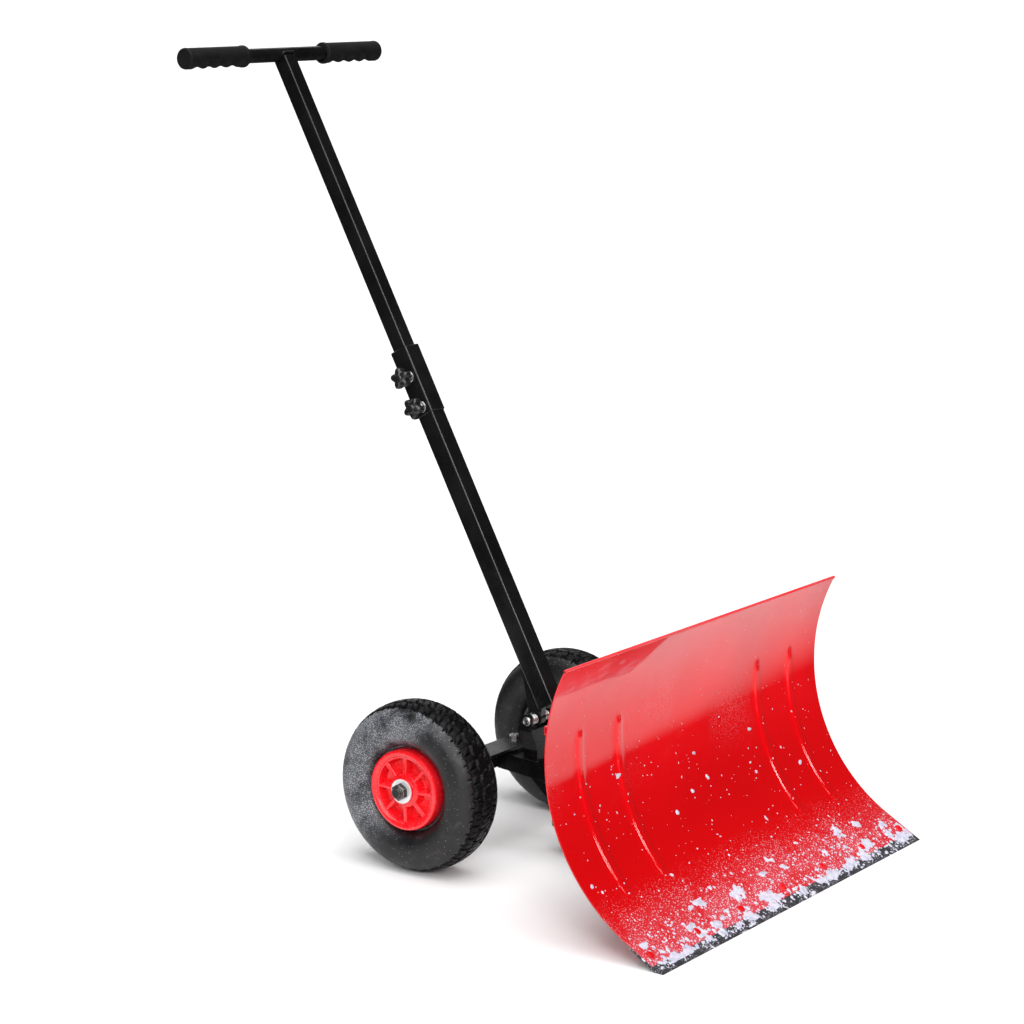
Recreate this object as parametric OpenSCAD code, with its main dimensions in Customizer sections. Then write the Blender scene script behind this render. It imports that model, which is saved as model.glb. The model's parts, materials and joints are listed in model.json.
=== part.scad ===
// Wheeled snow shovel: a curved steel blade on a swivelling carrier, pushed by a
// telescoping T-handle and rolling on two 10-inch wheels.
// X runs across the blade, -Y is the pushing direction, Z is up.
// The origin is on the ground, in the middle of the scraper's worn flat edge.
// Inside the modules Y is counted from the wheel axle; from_axle() moves a piece to the origin.

/* [Blade] */
// Width of the blade
blade_w = 720; // [600:10:760]
// Radius of the blade's curved part
blade_r = 263.6; // [250:1:280]
// Angle between the blade's straight lower part and the ground
blade_foot_angle = 29.5; // [25:0.5:33]
// Length of the straight lower part
blade_foot = 64; // [50:1:80]
// Tangent angle at the blade's top edge
blade_top_angle = 118.5; // [100:0.5:120]
// Thickness of the blade sheet
sheet_t = 2; // [1.5:0.1:2.5]
// How far the blade's tip is in front of the wheel axle
blade_reach = 533; // [520:1:560]
// How far the scraper sticks out below the sheet
scraper_show = 18; // [10:1:24]

/* [Wheels] */
// Diameter of the tyres
wheel_d = 254; // [230:1:270]
// Width of the tyres
tyre_w = 84; // [70:1:90]
// Distance between the two wheels' middle planes
track = 381.4; // [370:1:400]
// Diameter of the hubs
hub_d = 120; // [110:1:130]
// Ribs in each hub face
hub_ribs = 8; // [6:1:10]

/* [Handle] */
// Angle between the handle and the ground
handle_angle = 62.1; // [55:0.5:68]
// Distance from the lower tube's end to the T-bar's axis
handle_length = 1070; // [1000:5:1150]
// Side of the square lower tube
lower_tube = 30; // [30:1:32]
// Side of the square upper tube
upper_tube = 25; // [22:1:25]
// Wall of the square tubes
tube_wall = 1.5; // [1.2:0.1:1.6]
// Overall length of the T-bar with its grips
t_bar_length = 448; // [400:2:520]
// Diameter of the T-bar tube
t_bar_d = 22; // [20:1:24]
// Length of each grip
grip_length = 132; // [120:1:150]
// Diameter of each grip
grip_d = 31; // [29:1:34]

/* [Swivel] */
// How far the kingpin is in front of the wheel axle
kingpin_reach = 140; // [135:1:150]
// How far the blade turns to each side
swivel_limit = 30; // [20:1:30]

/* [Hidden] */
$fn = 64;

// Gap between pieces that touch, and between pieces that turn or slide
fit = 0.05;
small = 0.1;

// Side profile of the blade: a straight foot, then an arc about blade_c
foot_end = [-blade_reach + blade_foot * cos(blade_foot_angle), blade_foot * sin(blade_foot_angle)];
blade_c = foot_end + blade_r * [-sin(blade_foot_angle), cos(blade_foot_angle)];
foot_along = [cos(blade_foot_angle), sin(blade_foot_angle)];
foot_back = [sin(blade_foot_angle), -cos(blade_foot_angle)];
rib_x = [186, 281];
rib_r = 5;
rib_from = -49;
rib_to = 5;
scraper_t = 4;
scraper_tall = 58;
scraper_pitch = 115;
scraper_bolt_r = 3;
scraper_nut_h = 5;
scraper_nut_af = 10;
hem_r = 2.4;

// Blade supports
rail_z = 297;
rail_deep = 14;
rail_tall = 12;
rail_wall = 2;
rail_inset = 13;
lower_rail_z = 84;
lower_rail_inset = 75;
lower_rail_side = 24;
lower_rail_wall = 3;
strap_x = 232;
strap_t = 5;
strap_deep = 22;
strap_from = -35;
strap_to = 3.6;
backing_t = 4;
backing_w = 150;
cross_plate_t = 5;
cross_plate_tall = 72;
arm_x = 46;
arm_t = 5;

// Swivel
plate_t = 6;
barrel_r = 19;
barrel_low = 52;
barrel_high = 126;
kingpin_r = 8;
quadrant_r = 50;
quadrant_t = 5;
washer_t = 2;
bush_wall = 2.5;
bush_h = 20;
yoke_nose_r = 30;
yoke_top_z = barrel_high + quadrant_t + washer_t;
yoke_bottom_z = barrel_low - washer_t - plate_t;
hex_m16 = 24;

// Axle and beam
axle_z = wheel_d / 2;
axle_r = 8;
beam = 25;
beam_wall = 2;
beam_fall = 5;
axle_tube_half = 125;
brace_angle = 42;
brace_start = [-80.4, 118.3];
axle_bolt_x = 48;
axle_bolt_r = 3.9;
axle_bolt_af = 13;
axle_bolt_head = 5.5;
axle_hole_r = 4;
axle_plate_t = 5;
axle_plate_w = 132;
axle_plate_front = 20;

// Wheels
rim_r = hub_d / 2;
bush_r = 11;
boss_r = 17;
hub_half = 39;
hub_wall = 4;
hub_web = 14;
hub_web_t = 4;
hub_rib_t = 4;
hub_bush_deep = 25;
hub_flange_r = 15;
tyre_shoulder_r = 26;
axle_washer_r = 18;
axle_nut_af = 22;
spacer_r = 11;
plug_deep = 20;

// Handle joint
handle_foot = [-101.6, 221.8];
lean = 90 - handle_angle;
tilt_s = -9.3;
tilt_off = 32.2;
tilt_pin_r = 5;
tilt_nut_af = 14;
tilt_head_r = 7;
tilt_head_t = 4;
tilt_pin_end = 36;
ear_x = 25;
ear_t = 4;
lug_half = 6;
lug_r = 11;
lug_long = 62;
lower_tube_top = 567;
upper_tube_bottom = 350;
collar_from = 474;
collar_to = 580;
collar = 33;
knob_s = [486, 535];
stud_r = 4;
knob_r = 17;
knob_lobes = 5;
knob_lobe_r = 4.5;
knob_dish = 0.8;
liner_long = 14;
glide_t = 4;
glide_plug = 20;
collar_nut_af = 14;

// The scraper's worn flat on the ground, and its middle's distance from the wheel axle
ground_flat = (sheet_t + scraper_t) / sin(blade_foot_angle);
axle_back = blade_reach - ground_flat / 2;

module from_axle() {
    translate([0, axle_back, 0])
        children();
}

// Lays a drawing made in (Y, Z) flat across X, from x0 to x1
module across(x0, x1) {
    translate([x0, 0, 0])
        rotate([90, 0, 90])
            linear_extrude(x1 - x0)
                children();
}

// Places its children in the handle's own frame: Z along the tubes, Y towards their underside
module on_handle() {
    translate([0, handle_foot[0], handle_foot[1]])
        rotate([-lean, 0, 0])
            children();
}

// Repeats its children on the other side of the object
module both_sides() {
    children();
    mirror([1, 0, 0])
        children();
}

// A round rod along X
module rod_x(x0, x1, r) {
    translate([x0, 0, 0])
        rotate([0, 90, 0])
            cylinder(h = x1 - x0, r = r);
}

// A hexagon across X with its flats f apart
module hex_x(x0, x1, f) {
    translate([x0, 0, 0])
        rotate([0, 90, 0])
            cylinder(h = x1 - x0, r = f / sqrt(3), $fn = 6);
}

// A pie slice in the (Y, Z) drawing plane, from angle a to angle b, reaching radius r
module slice_2d(a, b, r) {
    m = (a + b) / 2;
    polygon([[0, 0], r * [cos(a), sin(a)], r * 1.5 * [cos(m), sin(m)], r * [cos(b), sin(b)]]);
}

// An arc band about the blade's centre line, from angle a to angle b and radius r0 to r1
module blade_band_2d(a, b, r0, r1) {
    translate(blade_c)
        intersection() {
            difference() {
                circle(r = r1, $fn = 180);
                circle(r = r0, $fn = 180);
            }
            slice_2d(a, b, r1 * 1.2);
        }
}

// A strip along the blade's straight foot: from f0 to f1 along it, d0 to d1 behind its face
module foot_strip_2d(f0, f1, d0, d1) {
    start = [-blade_reach, 0];
    polygon([
        start + f0 * foot_along + d0 * foot_back,
        start + f1 * foot_along + d0 * foot_back,
        start + f1 * foot_along + d1 * foot_back,
        start + f0 * foot_along + d1 * foot_back
    ]);
}

// A half-round rib that follows the blade's arc, centred on radius c at distance x from the middle
module arc_rib(x, a, b, c, r) {
    translate([x, blade_c[0], blade_c[1]])
        rotate([90, 0, 90])
            rotate([0, 0, a])
                rotate_extrude(angle = b - a, $fn = 180)
                    intersection() {
                        translate([c, 0])
                            circle(r = r, $fn = 32);
                        translate([c - 2 * r, -r])
                            square([2 * r, 2 * r]);
                    }
}

// Keeps its children clear of everything in front of radius r about the blade's arc
module behind_blade(r) {
    difference() {
        children();
        across(-blade_w, blade_w)
            translate(blade_c)
                circle(r = r, $fn = 180);
    }
}

foot_phi = blade_foot_angle - 90;
top_phi = blade_top_angle - 90;
top_edge = blade_c + (blade_r + sheet_t / 2) * [cos(top_phi), sin(top_phi)];
scraper_xs = [for (i = [-3 : 3]) i * scraper_pitch];
scraper_hole = scraper_show + 16;

module scraper_holes(r) {
    for (x = scraper_xs)
        translate([x, -blade_reach, 0])
            rotate([blade_foot_angle, 0, 0])
                translate([0, scraper_hole, -20])
                    cylinder(h = 40, r = r);
}

module blade_shell() {
    from_axle() color("red")
        difference() {
            union() {
                across(-blade_w / 2, blade_w / 2) {
                    blade_band_2d(foot_phi, top_phi, blade_r, blade_r + sheet_t);
                    foot_strip_2d(scraper_show, blade_foot + small, 0, sheet_t);
                }
                for (x = rib_x, s = [-1, 1])
                    arc_rib(s * x, rib_from, rib_to, blade_r + 1, rib_r);
                translate([0, top_edge[0], top_edge[1]])
                    rod_x(-blade_w / 2, blade_w / 2, hem_r);
            }
            for (x = rib_x, s = [-1, 1])
                arc_rib(s * x, rib_from + 0.5, rib_to - 0.5, blade_r + sheet_t + 1, rib_r - sheet_t + 1);
            scraper_holes(scraper_bolt_r + small);
        }
}

module scraper_edge() {
    from_axle() color("dimgray")
        difference() {
            across(-blade_w / 2, blade_w / 2) {
                foot_strip_2d(0, scraper_show - fit, 0, sheet_t + 1);
                foot_strip_2d(0, scraper_tall, sheet_t + fit, sheet_t + scraper_t);
            }
            scraper_holes(scraper_bolt_r + small);
            translate([-blade_w, -2 * blade_reach, -100])
                cube([2 * blade_w, 2 * blade_reach, 100]);
        }
}

// Domed bolts with their heads on the blade's face
module scraper_bolts() {
    from_axle() color("silver")
        for (x = scraper_xs)
            translate([x, -blade_reach, 0])
                rotate([blade_foot_angle, 0, 0])
                    translate([0, scraper_hole, 0]) {
                        translate([0, 0, -sheet_t - scraper_t - scraper_nut_h - 2])
                            cylinder(h = sheet_t + scraper_t + scraper_nut_h + 2 + fit, r = scraper_bolt_r);
                        translate([0, 0, fit])
                            cylinder(h = 1, r = 2 * scraper_bolt_r);
                        translate([0, 0, fit + 1])
                            cylinder(h = 1, r = 1.5 * scraper_bolt_r);
                    }
}

module scraper_nuts() {
    from_axle() color("silver")
        for (x = scraper_xs)
            translate([x, -blade_reach, 0])
                rotate([blade_foot_angle, 0, 0])
                    translate([0, scraper_hole, -sheet_t - scraper_t - fit - scraper_nut_h])
                        difference() {
                            cylinder(h = scraper_nut_h, r = scraper_nut_af / sqrt(3), $fn = 6);
                            translate([0, 0, -1])
                                cylinder(h = scraper_nut_h + 2, r = scraper_bolt_r + fit);
                        }
}

// A square tube across the back of the blade
module top_back_rail() {
    y = blade_c[0] + sqrt(pow(blade_r + sheet_t, 2) - pow(rail_z + rail_tall / 2 - blade_c[1], 2)) + 1;
    from_axle() color("red")
        difference() {
            behind_blade(blade_r + sheet_t + fit)
                translate([-blade_w / 2 + rail_inset, y - rail_wall, rail_z - rail_tall / 2])
                    cube([blade_w - 2 * rail_inset, rail_deep, rail_tall]);
            translate([-blade_w, y + rail_wall + 1, rail_z - rail_tall / 2 + rail_wall])
                cube([2 * blade_w, rail_deep - 3 * rail_wall - 1, rail_tall - 2 * rail_wall]);
        }
}

// An angle section across the back of the blade, above the scraper
module lower_back_rail() {
    y = blade_c[0] + sqrt(pow(blade_r + sheet_t, 2) - pow(lower_rail_z - blade_c[1], 2));
    from_axle() color("red")
        behind_blade(blade_r + sheet_t + fit)
            difference() {
                translate([-blade_w / 2 + lower_rail_inset, y - lower_rail_side / 2,
                    lower_rail_z - lower_rail_side / 2])
                    cube([blade_w - 2 * lower_rail_inset, 1.5 * lower_rail_side, lower_rail_side]);
                translate([-blade_w, y - lower_rail_side, lower_rail_z - lower_rail_side / 2 - lower_rail_wall])
                    cube([2 * blade_w, 2 * lower_rail_side - lower_rail_wall, lower_rail_side]);
                both_sides()
                    translate([arm_x - small, y - 40, 0])
                        cube([arm_t + 2 * small, 80, 200]);
            }
}

// Two bars that stiffen the blade from the lower rail to the top rail
module back_straps() {
    from_axle() color("red")
        both_sides()
            across(strap_x - strap_t / 2, strap_x + strap_t / 2)
                blade_band_2d(strap_from, strap_to, blade_r + sheet_t + fit, blade_r + sheet_t + strap_deep);
}

backing_from = -37;
backing_to = 0;

module carrier_backing_plate() {
    from_axle() color([0.07, 0.07, 0.07])
        across(-backing_w / 2, backing_w / 2)
            blade_band_2d(backing_from, backing_to, blade_r + sheet_t + fit, blade_r + sheet_t + backing_t);
}

arm_rear = -kingpin_reach - 66;

module arm_2d() {
    difference() {
        polygon([
            [arm_rear, yoke_bottom_z - 2],
            [arm_rear, yoke_top_z + plate_t + 2],
            [arm_rear - 30, yoke_top_z + plate_t + 22],
            [-400, 250],
            [-470, 60],
            [arm_rear - 30, yoke_bottom_z - 8]
        ]);
        polygon([
            [arm_rear - 34, yoke_bottom_z + 26],
            [arm_rear - 34, yoke_top_z - 16],
            [-322, 172],
            [-360, 104],
            [-340, yoke_bottom_z + 32]
        ]);
    }
}

module carrier_arms() {
    from_axle() color([0.07, 0.07, 0.07])
        behind_blade(blade_r + sheet_t + backing_t + fit)
            both_sides()
                across(arm_x, arm_x + arm_t)
                    arm_2d();
}

// A flat plate between the two arms
module carrier_cross_plate() {
    from_axle() color([0.07, 0.07, 0.07])
        translate([-arm_x + fit, arm_rear - 92, yoke_bottom_z + plate_t + 1])
            cube([2 * (arm_x - fit), cross_plate_t, cross_plate_tall]);
}

// Plate about the kingpin: a round nose that widens to the carrier's arms
module yoke_plate() {
    difference() {
        union() {
            cylinder(h = plate_t, r = yoke_nose_r);
            linear_extrude(plate_t)
                polygon([
                    [-yoke_nose_r + 1, 3],
                    [yoke_nose_r - 1, 3],
                    [arm_x - fit, -60],
                    [arm_x - fit, -120],
                    [-arm_x + fit, -120],
                    [-arm_x + fit, -60]
                ]);
        }
        translate([0, 0, -1])
            cylinder(h = plate_t + 2, r = kingpin_r + fit);
    }
}

module at_kingpin(z) {
    translate([0, -kingpin_reach, z])
        children();
}

module yoke_top_plate() {
    from_axle() color([0.07, 0.07, 0.07])
        at_kingpin(yoke_top_z)
            difference() {
                yoke_plate();
                translate([0, -quadrant_r, -1])
                    cylinder(h = plate_t + 2, r = clamp_bolt_r + fit);
            }
}

module yoke_bottom_plate() {
    from_axle() color([0.07, 0.07, 0.07])
        at_kingpin(yoke_bottom_z)
            yoke_plate();
}

kingpin_head = 10;
kingpin_nut_h = 13;
kingpin_washer_t = 3;
kingpin_washer_r = 15;
kingpin_tail = 4;
kingpin_reach_up = yoke_top_z + plate_t - yoke_bottom_z + kingpin_washer_t + kingpin_nut_h
    + kingpin_tail + fit;

module kingpin_bolt() {
    from_axle() color("silver")
        at_kingpin(yoke_bottom_z - kingpin_washer_t - kingpin_nut_h - kingpin_tail) {
            cylinder(h = kingpin_reach_up, r = kingpin_r);
            translate([0, 0, kingpin_reach_up])
                cylinder(h = kingpin_head, r = hex_m16 / sqrt(3), $fn = 6);
        }
}

module kingpin_washer() {
    from_axle() color("silver")
        at_kingpin(yoke_bottom_z - kingpin_washer_t)
            difference() {
                cylinder(h = kingpin_washer_t - fit, r = kingpin_washer_r);
                translate([0, 0, -1])
                    cylinder(h = kingpin_washer_t + 2, r = kingpin_r + fit);
            }
}

module kingpin_nut() {
    from_axle() color("silver")
        at_kingpin(yoke_bottom_z - kingpin_washer_t - kingpin_nut_h)
            difference() {
                cylinder(h = kingpin_nut_h - fit, r = hex_m16 / sqrt(3), $fn = 6);
                translate([0, 0, -1])
                    cylinder(h = kingpin_nut_h + 2, r = kingpin_r + fit);
            }
}

clamp_bolt_r = 5;
clamp_head_h = 6;
clamp_head_r = 9;
clamp_washer_r = 12;
clamp_knob_r = 16;
clamp_knob_h = 12;
clamp_boss_r = 10;
clamp_boss_h = 8;
clamp_lobes = 6;
clamp_lobe_r = 5;
clamp_bolt_top = yoke_top_z + plate_t + 22;

module at_clamp(z) {
    at_kingpin(z)
        translate([0, -quadrant_r, 0])
            children();
}

// Bolt up through the quadrant's slot and the top yoke plate
module swivel_clamp_bolt() {
    from_axle() color("silver")
        at_clamp(barrel_high - clamp_head_h - small) {
            cylinder(h = clamp_head_h, r = clamp_head_r);
            cylinder(h = clamp_bolt_top - barrel_high + clamp_head_h, r = clamp_bolt_r);
        }
}

module swivel_clamp_washer() {
    from_axle() color("silver")
        at_clamp(yoke_top_z + plate_t + fit)
            difference() {
                cylinder(h = washer_t - 2 * fit, r = clamp_washer_r);
                translate([0, 0, -1])
                    cylinder(h = washer_t + 2, r = clamp_bolt_r + fit);
            }
}

// Lobed knob that clamps the blade's angle
module swivel_clamp_knob() {
    from_axle() color([0.05, 0.05, 0.05])
        at_clamp(yoke_top_z + plate_t + washer_t)
            difference() {
                union() {
                    cylinder(h = clamp_boss_h, r = clamp_boss_r);
                    translate([0, 0, clamp_boss_h - 2])
                        cylinder(h = clamp_knob_h, r = clamp_knob_r);
                    for (i = [0 : clamp_lobes - 1])
                        rotate([0, 0, i * 360 / clamp_lobes])
                            translate([clamp_knob_r, 0, clamp_boss_h - 2])
                                cylinder(h = clamp_knob_h, r = clamp_lobe_r);
                }
                translate([0, 0, -1])
                    cylinder(h = 2 * clamp_knob_h + clamp_boss_h, r = clamp_bolt_r + fit);
            }
}

module kingpin_barrel() {
    from_axle() color([0.07, 0.07, 0.07])
        at_kingpin(barrel_low)
            difference() {
                cylinder(h = barrel_high - barrel_low, r = barrel_r);
                translate([0, 0, -1])
                    cylinder(h = barrel_high - barrel_low + 2, r = kingpin_r + bush_wall + fit);
            }
}

module kingpin_bushes() {
    from_axle() color("ivory")
        for (z = [barrel_low, barrel_high - bush_h])
            at_kingpin(z)
                difference() {
                    cylinder(h = bush_h, r = kingpin_r + bush_wall);
                    translate([0, 0, -1])
                        cylinder(h = bush_h + 2, r = kingpin_r + fit);
                }
}

module thrust_washers() {
    from_axle() color("ivory")
        for (z = [barrel_low - washer_t + fit, barrel_high + quadrant_t + fit])
            at_kingpin(z)
                difference() {
                    cylinder(h = washer_t - 2 * fit, r = barrel_r);
                    translate([0, 0, -1])
                        cylinder(h = washer_t + 2, r = kingpin_r + fit);
                }
}

// Fixed quadrant with an arc slot for the clamp bolt
module swivel_quadrant() {
    slot_r = clamp_bolt_r + small;
    from_axle() color([0.07, 0.07, 0.07])
        at_kingpin(barrel_high)
            difference() {
                union() {
                    cylinder(h = quadrant_t, r = barrel_r + 3);
                    intersection() {
                        cylinder(h = quadrant_t, r = quadrant_r + 12);
                        linear_extrude(quadrant_t)
                            polygon([[0, 4], [-100, -100], [-100, -200], [100, -200], [100, -100]]);
                    }
                }
                translate([0, 0, -1])
                    cylinder(h = quadrant_t + 2, r = kingpin_r + 2 * fit);
                translate([0, 0, -1])
                    intersection() {
                        difference() {
                            cylinder(h = quadrant_t + 2, r = quadrant_r + slot_r);
                            translate([0, 0, -1])
                                cylinder(h = quadrant_t + 4, r = quadrant_r - slot_r);
                        }
                        linear_extrude(quadrant_t + 2)
                            polygon([
                                [0, 0],
                                200 * [-sin(swivel_limit), -cos(swivel_limit)],
                                [0, -400],
                                200 * [sin(swivel_limit), -cos(swivel_limit)]
                            ]);
                    }
                for (a = [-swivel_limit, swivel_limit])
                    rotate([0, 0, a])
                        translate([0, -quadrant_r, -1])
                            cylinder(h = quadrant_t + 2, r = slot_r);
            }
}

// Height of the centre beam's middle line at a distance y from the axle
function beam_z(y) = axle_z + y * tan(beam_fall);
beam_half = beam / 2 / cos(beam_fall);

module beam_2d(half, y0, y1) {
    polygon([
        [y0, beam_z(y0) - half],
        [y0, beam_z(y0) + half],
        [y1, beam_z(y1) + half],
        [y1, beam_z(y1) - half]
    ]);
}

module centre_beam() {
    y0 = -beam / 2 - fit;
    y1 = -kingpin_reach;
    from_axle() color([0.07, 0.07, 0.07])
        difference() {
            across(-beam / 2, beam / 2)
                beam_2d(beam_half, y0, y1);
            across(-beam / 2 + beam_wall, beam / 2 - beam_wall)
                beam_2d(beam_half - beam_wall, y0 + 1, y1 - 1);
            at_kingpin(0)
                cylinder(h = 300, r = barrel_r + fit);
            at_kingpin(barrel_high - fit)
                cylinder(h = 300, r = barrel_r + 4);
        }
}

module brace_2d(half, from, to) {
    along = [-cos(brace_angle), -sin(brace_angle)];
    up = [-sin(brace_angle), cos(brace_angle)];
    polygon([
        brace_start + from * along + half * up,
        brace_start + to * along + half * up,
        brace_start + to * along - half * up,
        brace_start + from * along - half * up
    ]);
}

// Short tube from under the beam down to the kingpin barrel
module diagonal_brace() {
    from_axle() color([0.07, 0.07, 0.07])
        difference() {
            across(-beam / 2, beam / 2)
                brace_2d(beam / 2, -30, 90);
            across(-beam / 2 + beam_wall, beam / 2 - beam_wall)
                brace_2d(beam / 2 - beam_wall, -40, 100);
            across(-beam, beam)
                polygon([
                    [0, beam_z(0) - beam_half - fit],
                    [-kingpin_reach, beam_z(-kingpin_reach) - beam_half - fit],
                    [-kingpin_reach, 300],
                    [0, 300]
                ]);
            at_kingpin(0)
                cylinder(h = 300, r = barrel_r + fit);
            translate([-beam, -kingpin_reach - 100, 0])
                cube([2 * beam, 100, 300]);
        }
}

tilt_pin_at = handle_foot
    + tilt_s * [cos(handle_angle), sin(handle_angle)]
    + tilt_off * [sin(handle_angle), -cos(handle_angle)];
post_y = tilt_pin_at[0] + 3;
post_top = tilt_pin_at[1] - tilt_pin_r - 5;
post_low = beam_z(post_y) + beam_half + small;
post_neck = post_low + 18;
post_out = ear_x + ear_t / 2;
post_in = ear_x - ear_t / 2;
post_deep = 30;
ear_r = 10.5;

module at_tilt_pin() {
    translate([0, tilt_pin_at[0], tilt_pin_at[1]])
        children();
}

// Front view of the post, drawn in (X, Z): beam wide at the bottom, pin wide at the top
module post_front_2d(wide, narrow) {
    polygon([
        [-narrow, post_low - 20],
        [-narrow, post_neck],
        [-wide, post_top - 6],
        [-wide, post_top + 40],
        [wide, post_top + 40],
        [wide, post_top - 6],
        [narrow, post_neck],
        [narrow, post_low - 20]
    ]);
}

// Folded post: a front plate with two flanges that end in the tilt pin's ears
module handle_post() {
    from_axle() color([0.07, 0.07, 0.07])
        difference() {
            intersection() {
                translate([0, post_y + post_deep - 11, 0])
                    rotate([90, 0, 0])
                        linear_extrude(post_deep)
                            post_front_2d(post_out, beam / 2);
                across(-100, 100) {
                    polygon([
                        [post_y - 12, post_low],
                        [post_y + 14, post_low + 26 * tan(beam_fall)],
                        [post_y + 14, post_top],
                        [post_y + 9, post_top + 6],
                        [post_y - 5, post_top + 6],
                        [post_y - 6, post_top - 3],
                        [post_y - 12, post_top - 3]
                    ]);
                    translate(tilt_pin_at)
                        circle(r = ear_r);
                }
            }
            difference() {
                translate([0, post_y + post_deep, 0])
                    rotate([90, 0, 0])
                        linear_extrude(2 * post_deep)
                            post_front_2d(post_in, beam / 2 - ear_t);
                translate([-100, post_y - 40, post_low - 30])
                    cube([200, 40 - 7, post_top - post_low + 28]);
                translate([-100, post_y - 40, post_low])
                    cube([200, 100, 4]);
            }
            at_tilt_pin()
                rod_x(-100, 100, tilt_pin_r + fit);
        }
}

module tilt_pin() {
    from_axle() color("silver")
        at_tilt_pin() {
            rod_x(-post_out - fit, tilt_pin_end, tilt_pin_r);
            rod_x(-post_out - tilt_head_t, -post_out - fit, tilt_head_r);
        }
}

module tilt_pin_nut() {
    from_axle() color("silver")
        at_tilt_pin()
            difference() {
                hex_x(post_out + fit, post_out + 8, tilt_nut_af);
                rod_x(0, 100, tilt_pin_r + fit);
            }
}

spring_r = 7;
spring_wire = 1.1;
spring_turns = 6;

// A coil of stacked rings joined by a straight wire down one side
module ring_coil(r, h, turns, wire) {
    for (i = [0 : turns - 1])
        translate([0, 0, wire + i * (h - 2 * wire) / (turns - 1)])
            rotate_extrude($fn = 48)
                translate([r, 0])
                    circle(r = wire, $fn = 24);
    translate([r, 0, wire])
        cylinder(h = h - 2 * wire, r = wire * 0.6);
}

// Two coil springs on the tilt pin, one on each side of the handle's lug
module tilt_springs() {
    length = post_in - lug_half - 1;
    from_axle() color("silver")
        both_sides()
            at_tilt_pin()
                translate([lug_half + 0.5, 0, 0])
                    rotate([0, 90, 0])
                        ring_coil(spring_r, length, spring_turns, spring_wire);
}

module axle_tube() {
    from_axle() color([0.07, 0.07, 0.07])
        difference() {
            translate([-axle_tube_half, -beam / 2, axle_z - beam / 2])
                cube([2 * axle_tube_half, beam, beam]);
            translate([-axle_tube_half - 1, -beam / 2 + beam_wall, axle_z - beam / 2 + beam_wall])
                cube([2 * axle_tube_half + 2, beam - 2 * beam_wall, beam - 2 * beam_wall]);
            axle_plate_holes(axle_hole_r);
        }
}

module axle_plate_holes(r) {
    both_sides()
        translate([axle_bolt_x, 0, 0])
            cylinder(h = 300, r = r);
}

// Flat plate on the axle tube that the centre beam is welded under
module axle_top_plate() {
    from_axle() color([0.07, 0.07, 0.07])
        difference() {
            translate([-axle_plate_w / 2, -beam / 2 - axle_plate_front, axle_z + beam / 2 + fit])
                cube([axle_plate_w, beam + axle_plate_front, axle_plate_t]);
            axle_plate_holes(axle_hole_r);
        }
}

// The bolts are tapped into the tube's top wall and end above the axle shaft
module axle_plate_bolts() {
    top = axle_z + beam / 2 + axle_plate_t + fit;
    from_axle() color("silver")
        both_sides()
            translate([axle_bolt_x, 0, 0]) {
                translate([0, 0, axle_z + axle_r + 1])
                    cylinder(h = top - axle_z - axle_r, r = axle_bolt_r);
                translate([0, 0, top + fit])
                    cylinder(h = axle_bolt_head, r = axle_bolt_af / sqrt(3), $fn = 6);
            }
}

axle_nut_end = 15;
shaft_half = track / 2 + hub_half + axle_nut_end + 2;

module axle_shaft() {
    from_axle() color("silver")
        translate([0, 0, axle_z])
            rod_x(-shaft_half, shaft_half, axle_r);
}

module axle_plugs() {
    side = beam - 2 * beam_wall - 2 * fit;
    from_axle() color([0.07, 0.07, 0.07])
        both_sides()
            difference() {
                translate([axle_tube_half - plug_deep, -side / 2, axle_z - side / 2])
                    cube([plug_deep, side, side]);
                translate([0, 0, axle_z])
                    rod_x(0, 200, axle_r + fit);
            }
}

hub_in = track / 2 - hub_half;
hub_out = track / 2 + hub_half;

module axle_spacers() {
    from_axle() color("silver")
        both_sides()
            translate([0, 0, axle_z])
                difference() {
                    rod_x(axle_tube_half + fit, hub_in - washer_t - fit, spacer_r);
                    rod_x(axle_tube_half - 1, hub_in + 1, axle_r + fit);
                }
}

module axle_washers() {
    from_axle() color("silver")
        both_sides()
            translate([0, 0, axle_z])
                difference() {
                    rod_x(hub_out + washer_t + fit, hub_out + 2 * washer_t, axle_washer_r);
                    rod_x(hub_out, hub_out + 6, axle_r + fit);
                }
}

module axle_nuts() {
    from_axle() color([0.2, 0.2, 0.2])
        both_sides()
            translate([0, 0, axle_z])
                difference() {
                    hex_x(hub_out + 2 * washer_t + fit, hub_out + axle_nut_end, axle_nut_af);
                    rod_x(hub_out, hub_out + 30, axle_r + fit);
                }
}

// Moves children from the wheel's own frame (axis Z, outside towards +Z) to the right wheel
module at_right_wheel() {
    translate([track / 2, 0, axle_z])
        rotate([0, 90, 0])
            children();
}

module at_left_wheel() {
    mirror([1, 0, 0])
        at_right_wheel()
            children();
}

// Half section of the tyre: radius along X, width along Y
module tyre_2d() {
    flat = tyre_w / 2 - tyre_shoulder_r;
    crown = wheel_d / 2 - tyre_shoulder_r;
    difference() {
        union() {
            translate([rim_r + fit, -tyre_w / 2 + 6])
                square([20, tyre_w - 12]);
            translate([rim_r + 14, -tyre_w / 2])
                square([crown - rim_r - 14, tyre_w]);
            translate([rim_r, -flat])
                square([wheel_d / 2 - rim_r, 2 * flat]);
            for (y = [-flat, flat])
                translate([crown, y])
                    circle(r = tyre_shoulder_r, $fn = 96);
            for (y = [-tyre_w / 2 + 14, tyre_w / 2 - 14])
                translate([rim_r + 14, y])
                    circle(r = 14, $fn = 64);
        }
        translate([0, -tyre_w])
            square([rim_r + fit, 2 * tyre_w]);
    }
}

tread_blocks = 36;
tread_deep = 4;
groove_w = 4;
groove_at = 12;
notch_at = 32;
notch_w = 28;

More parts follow.
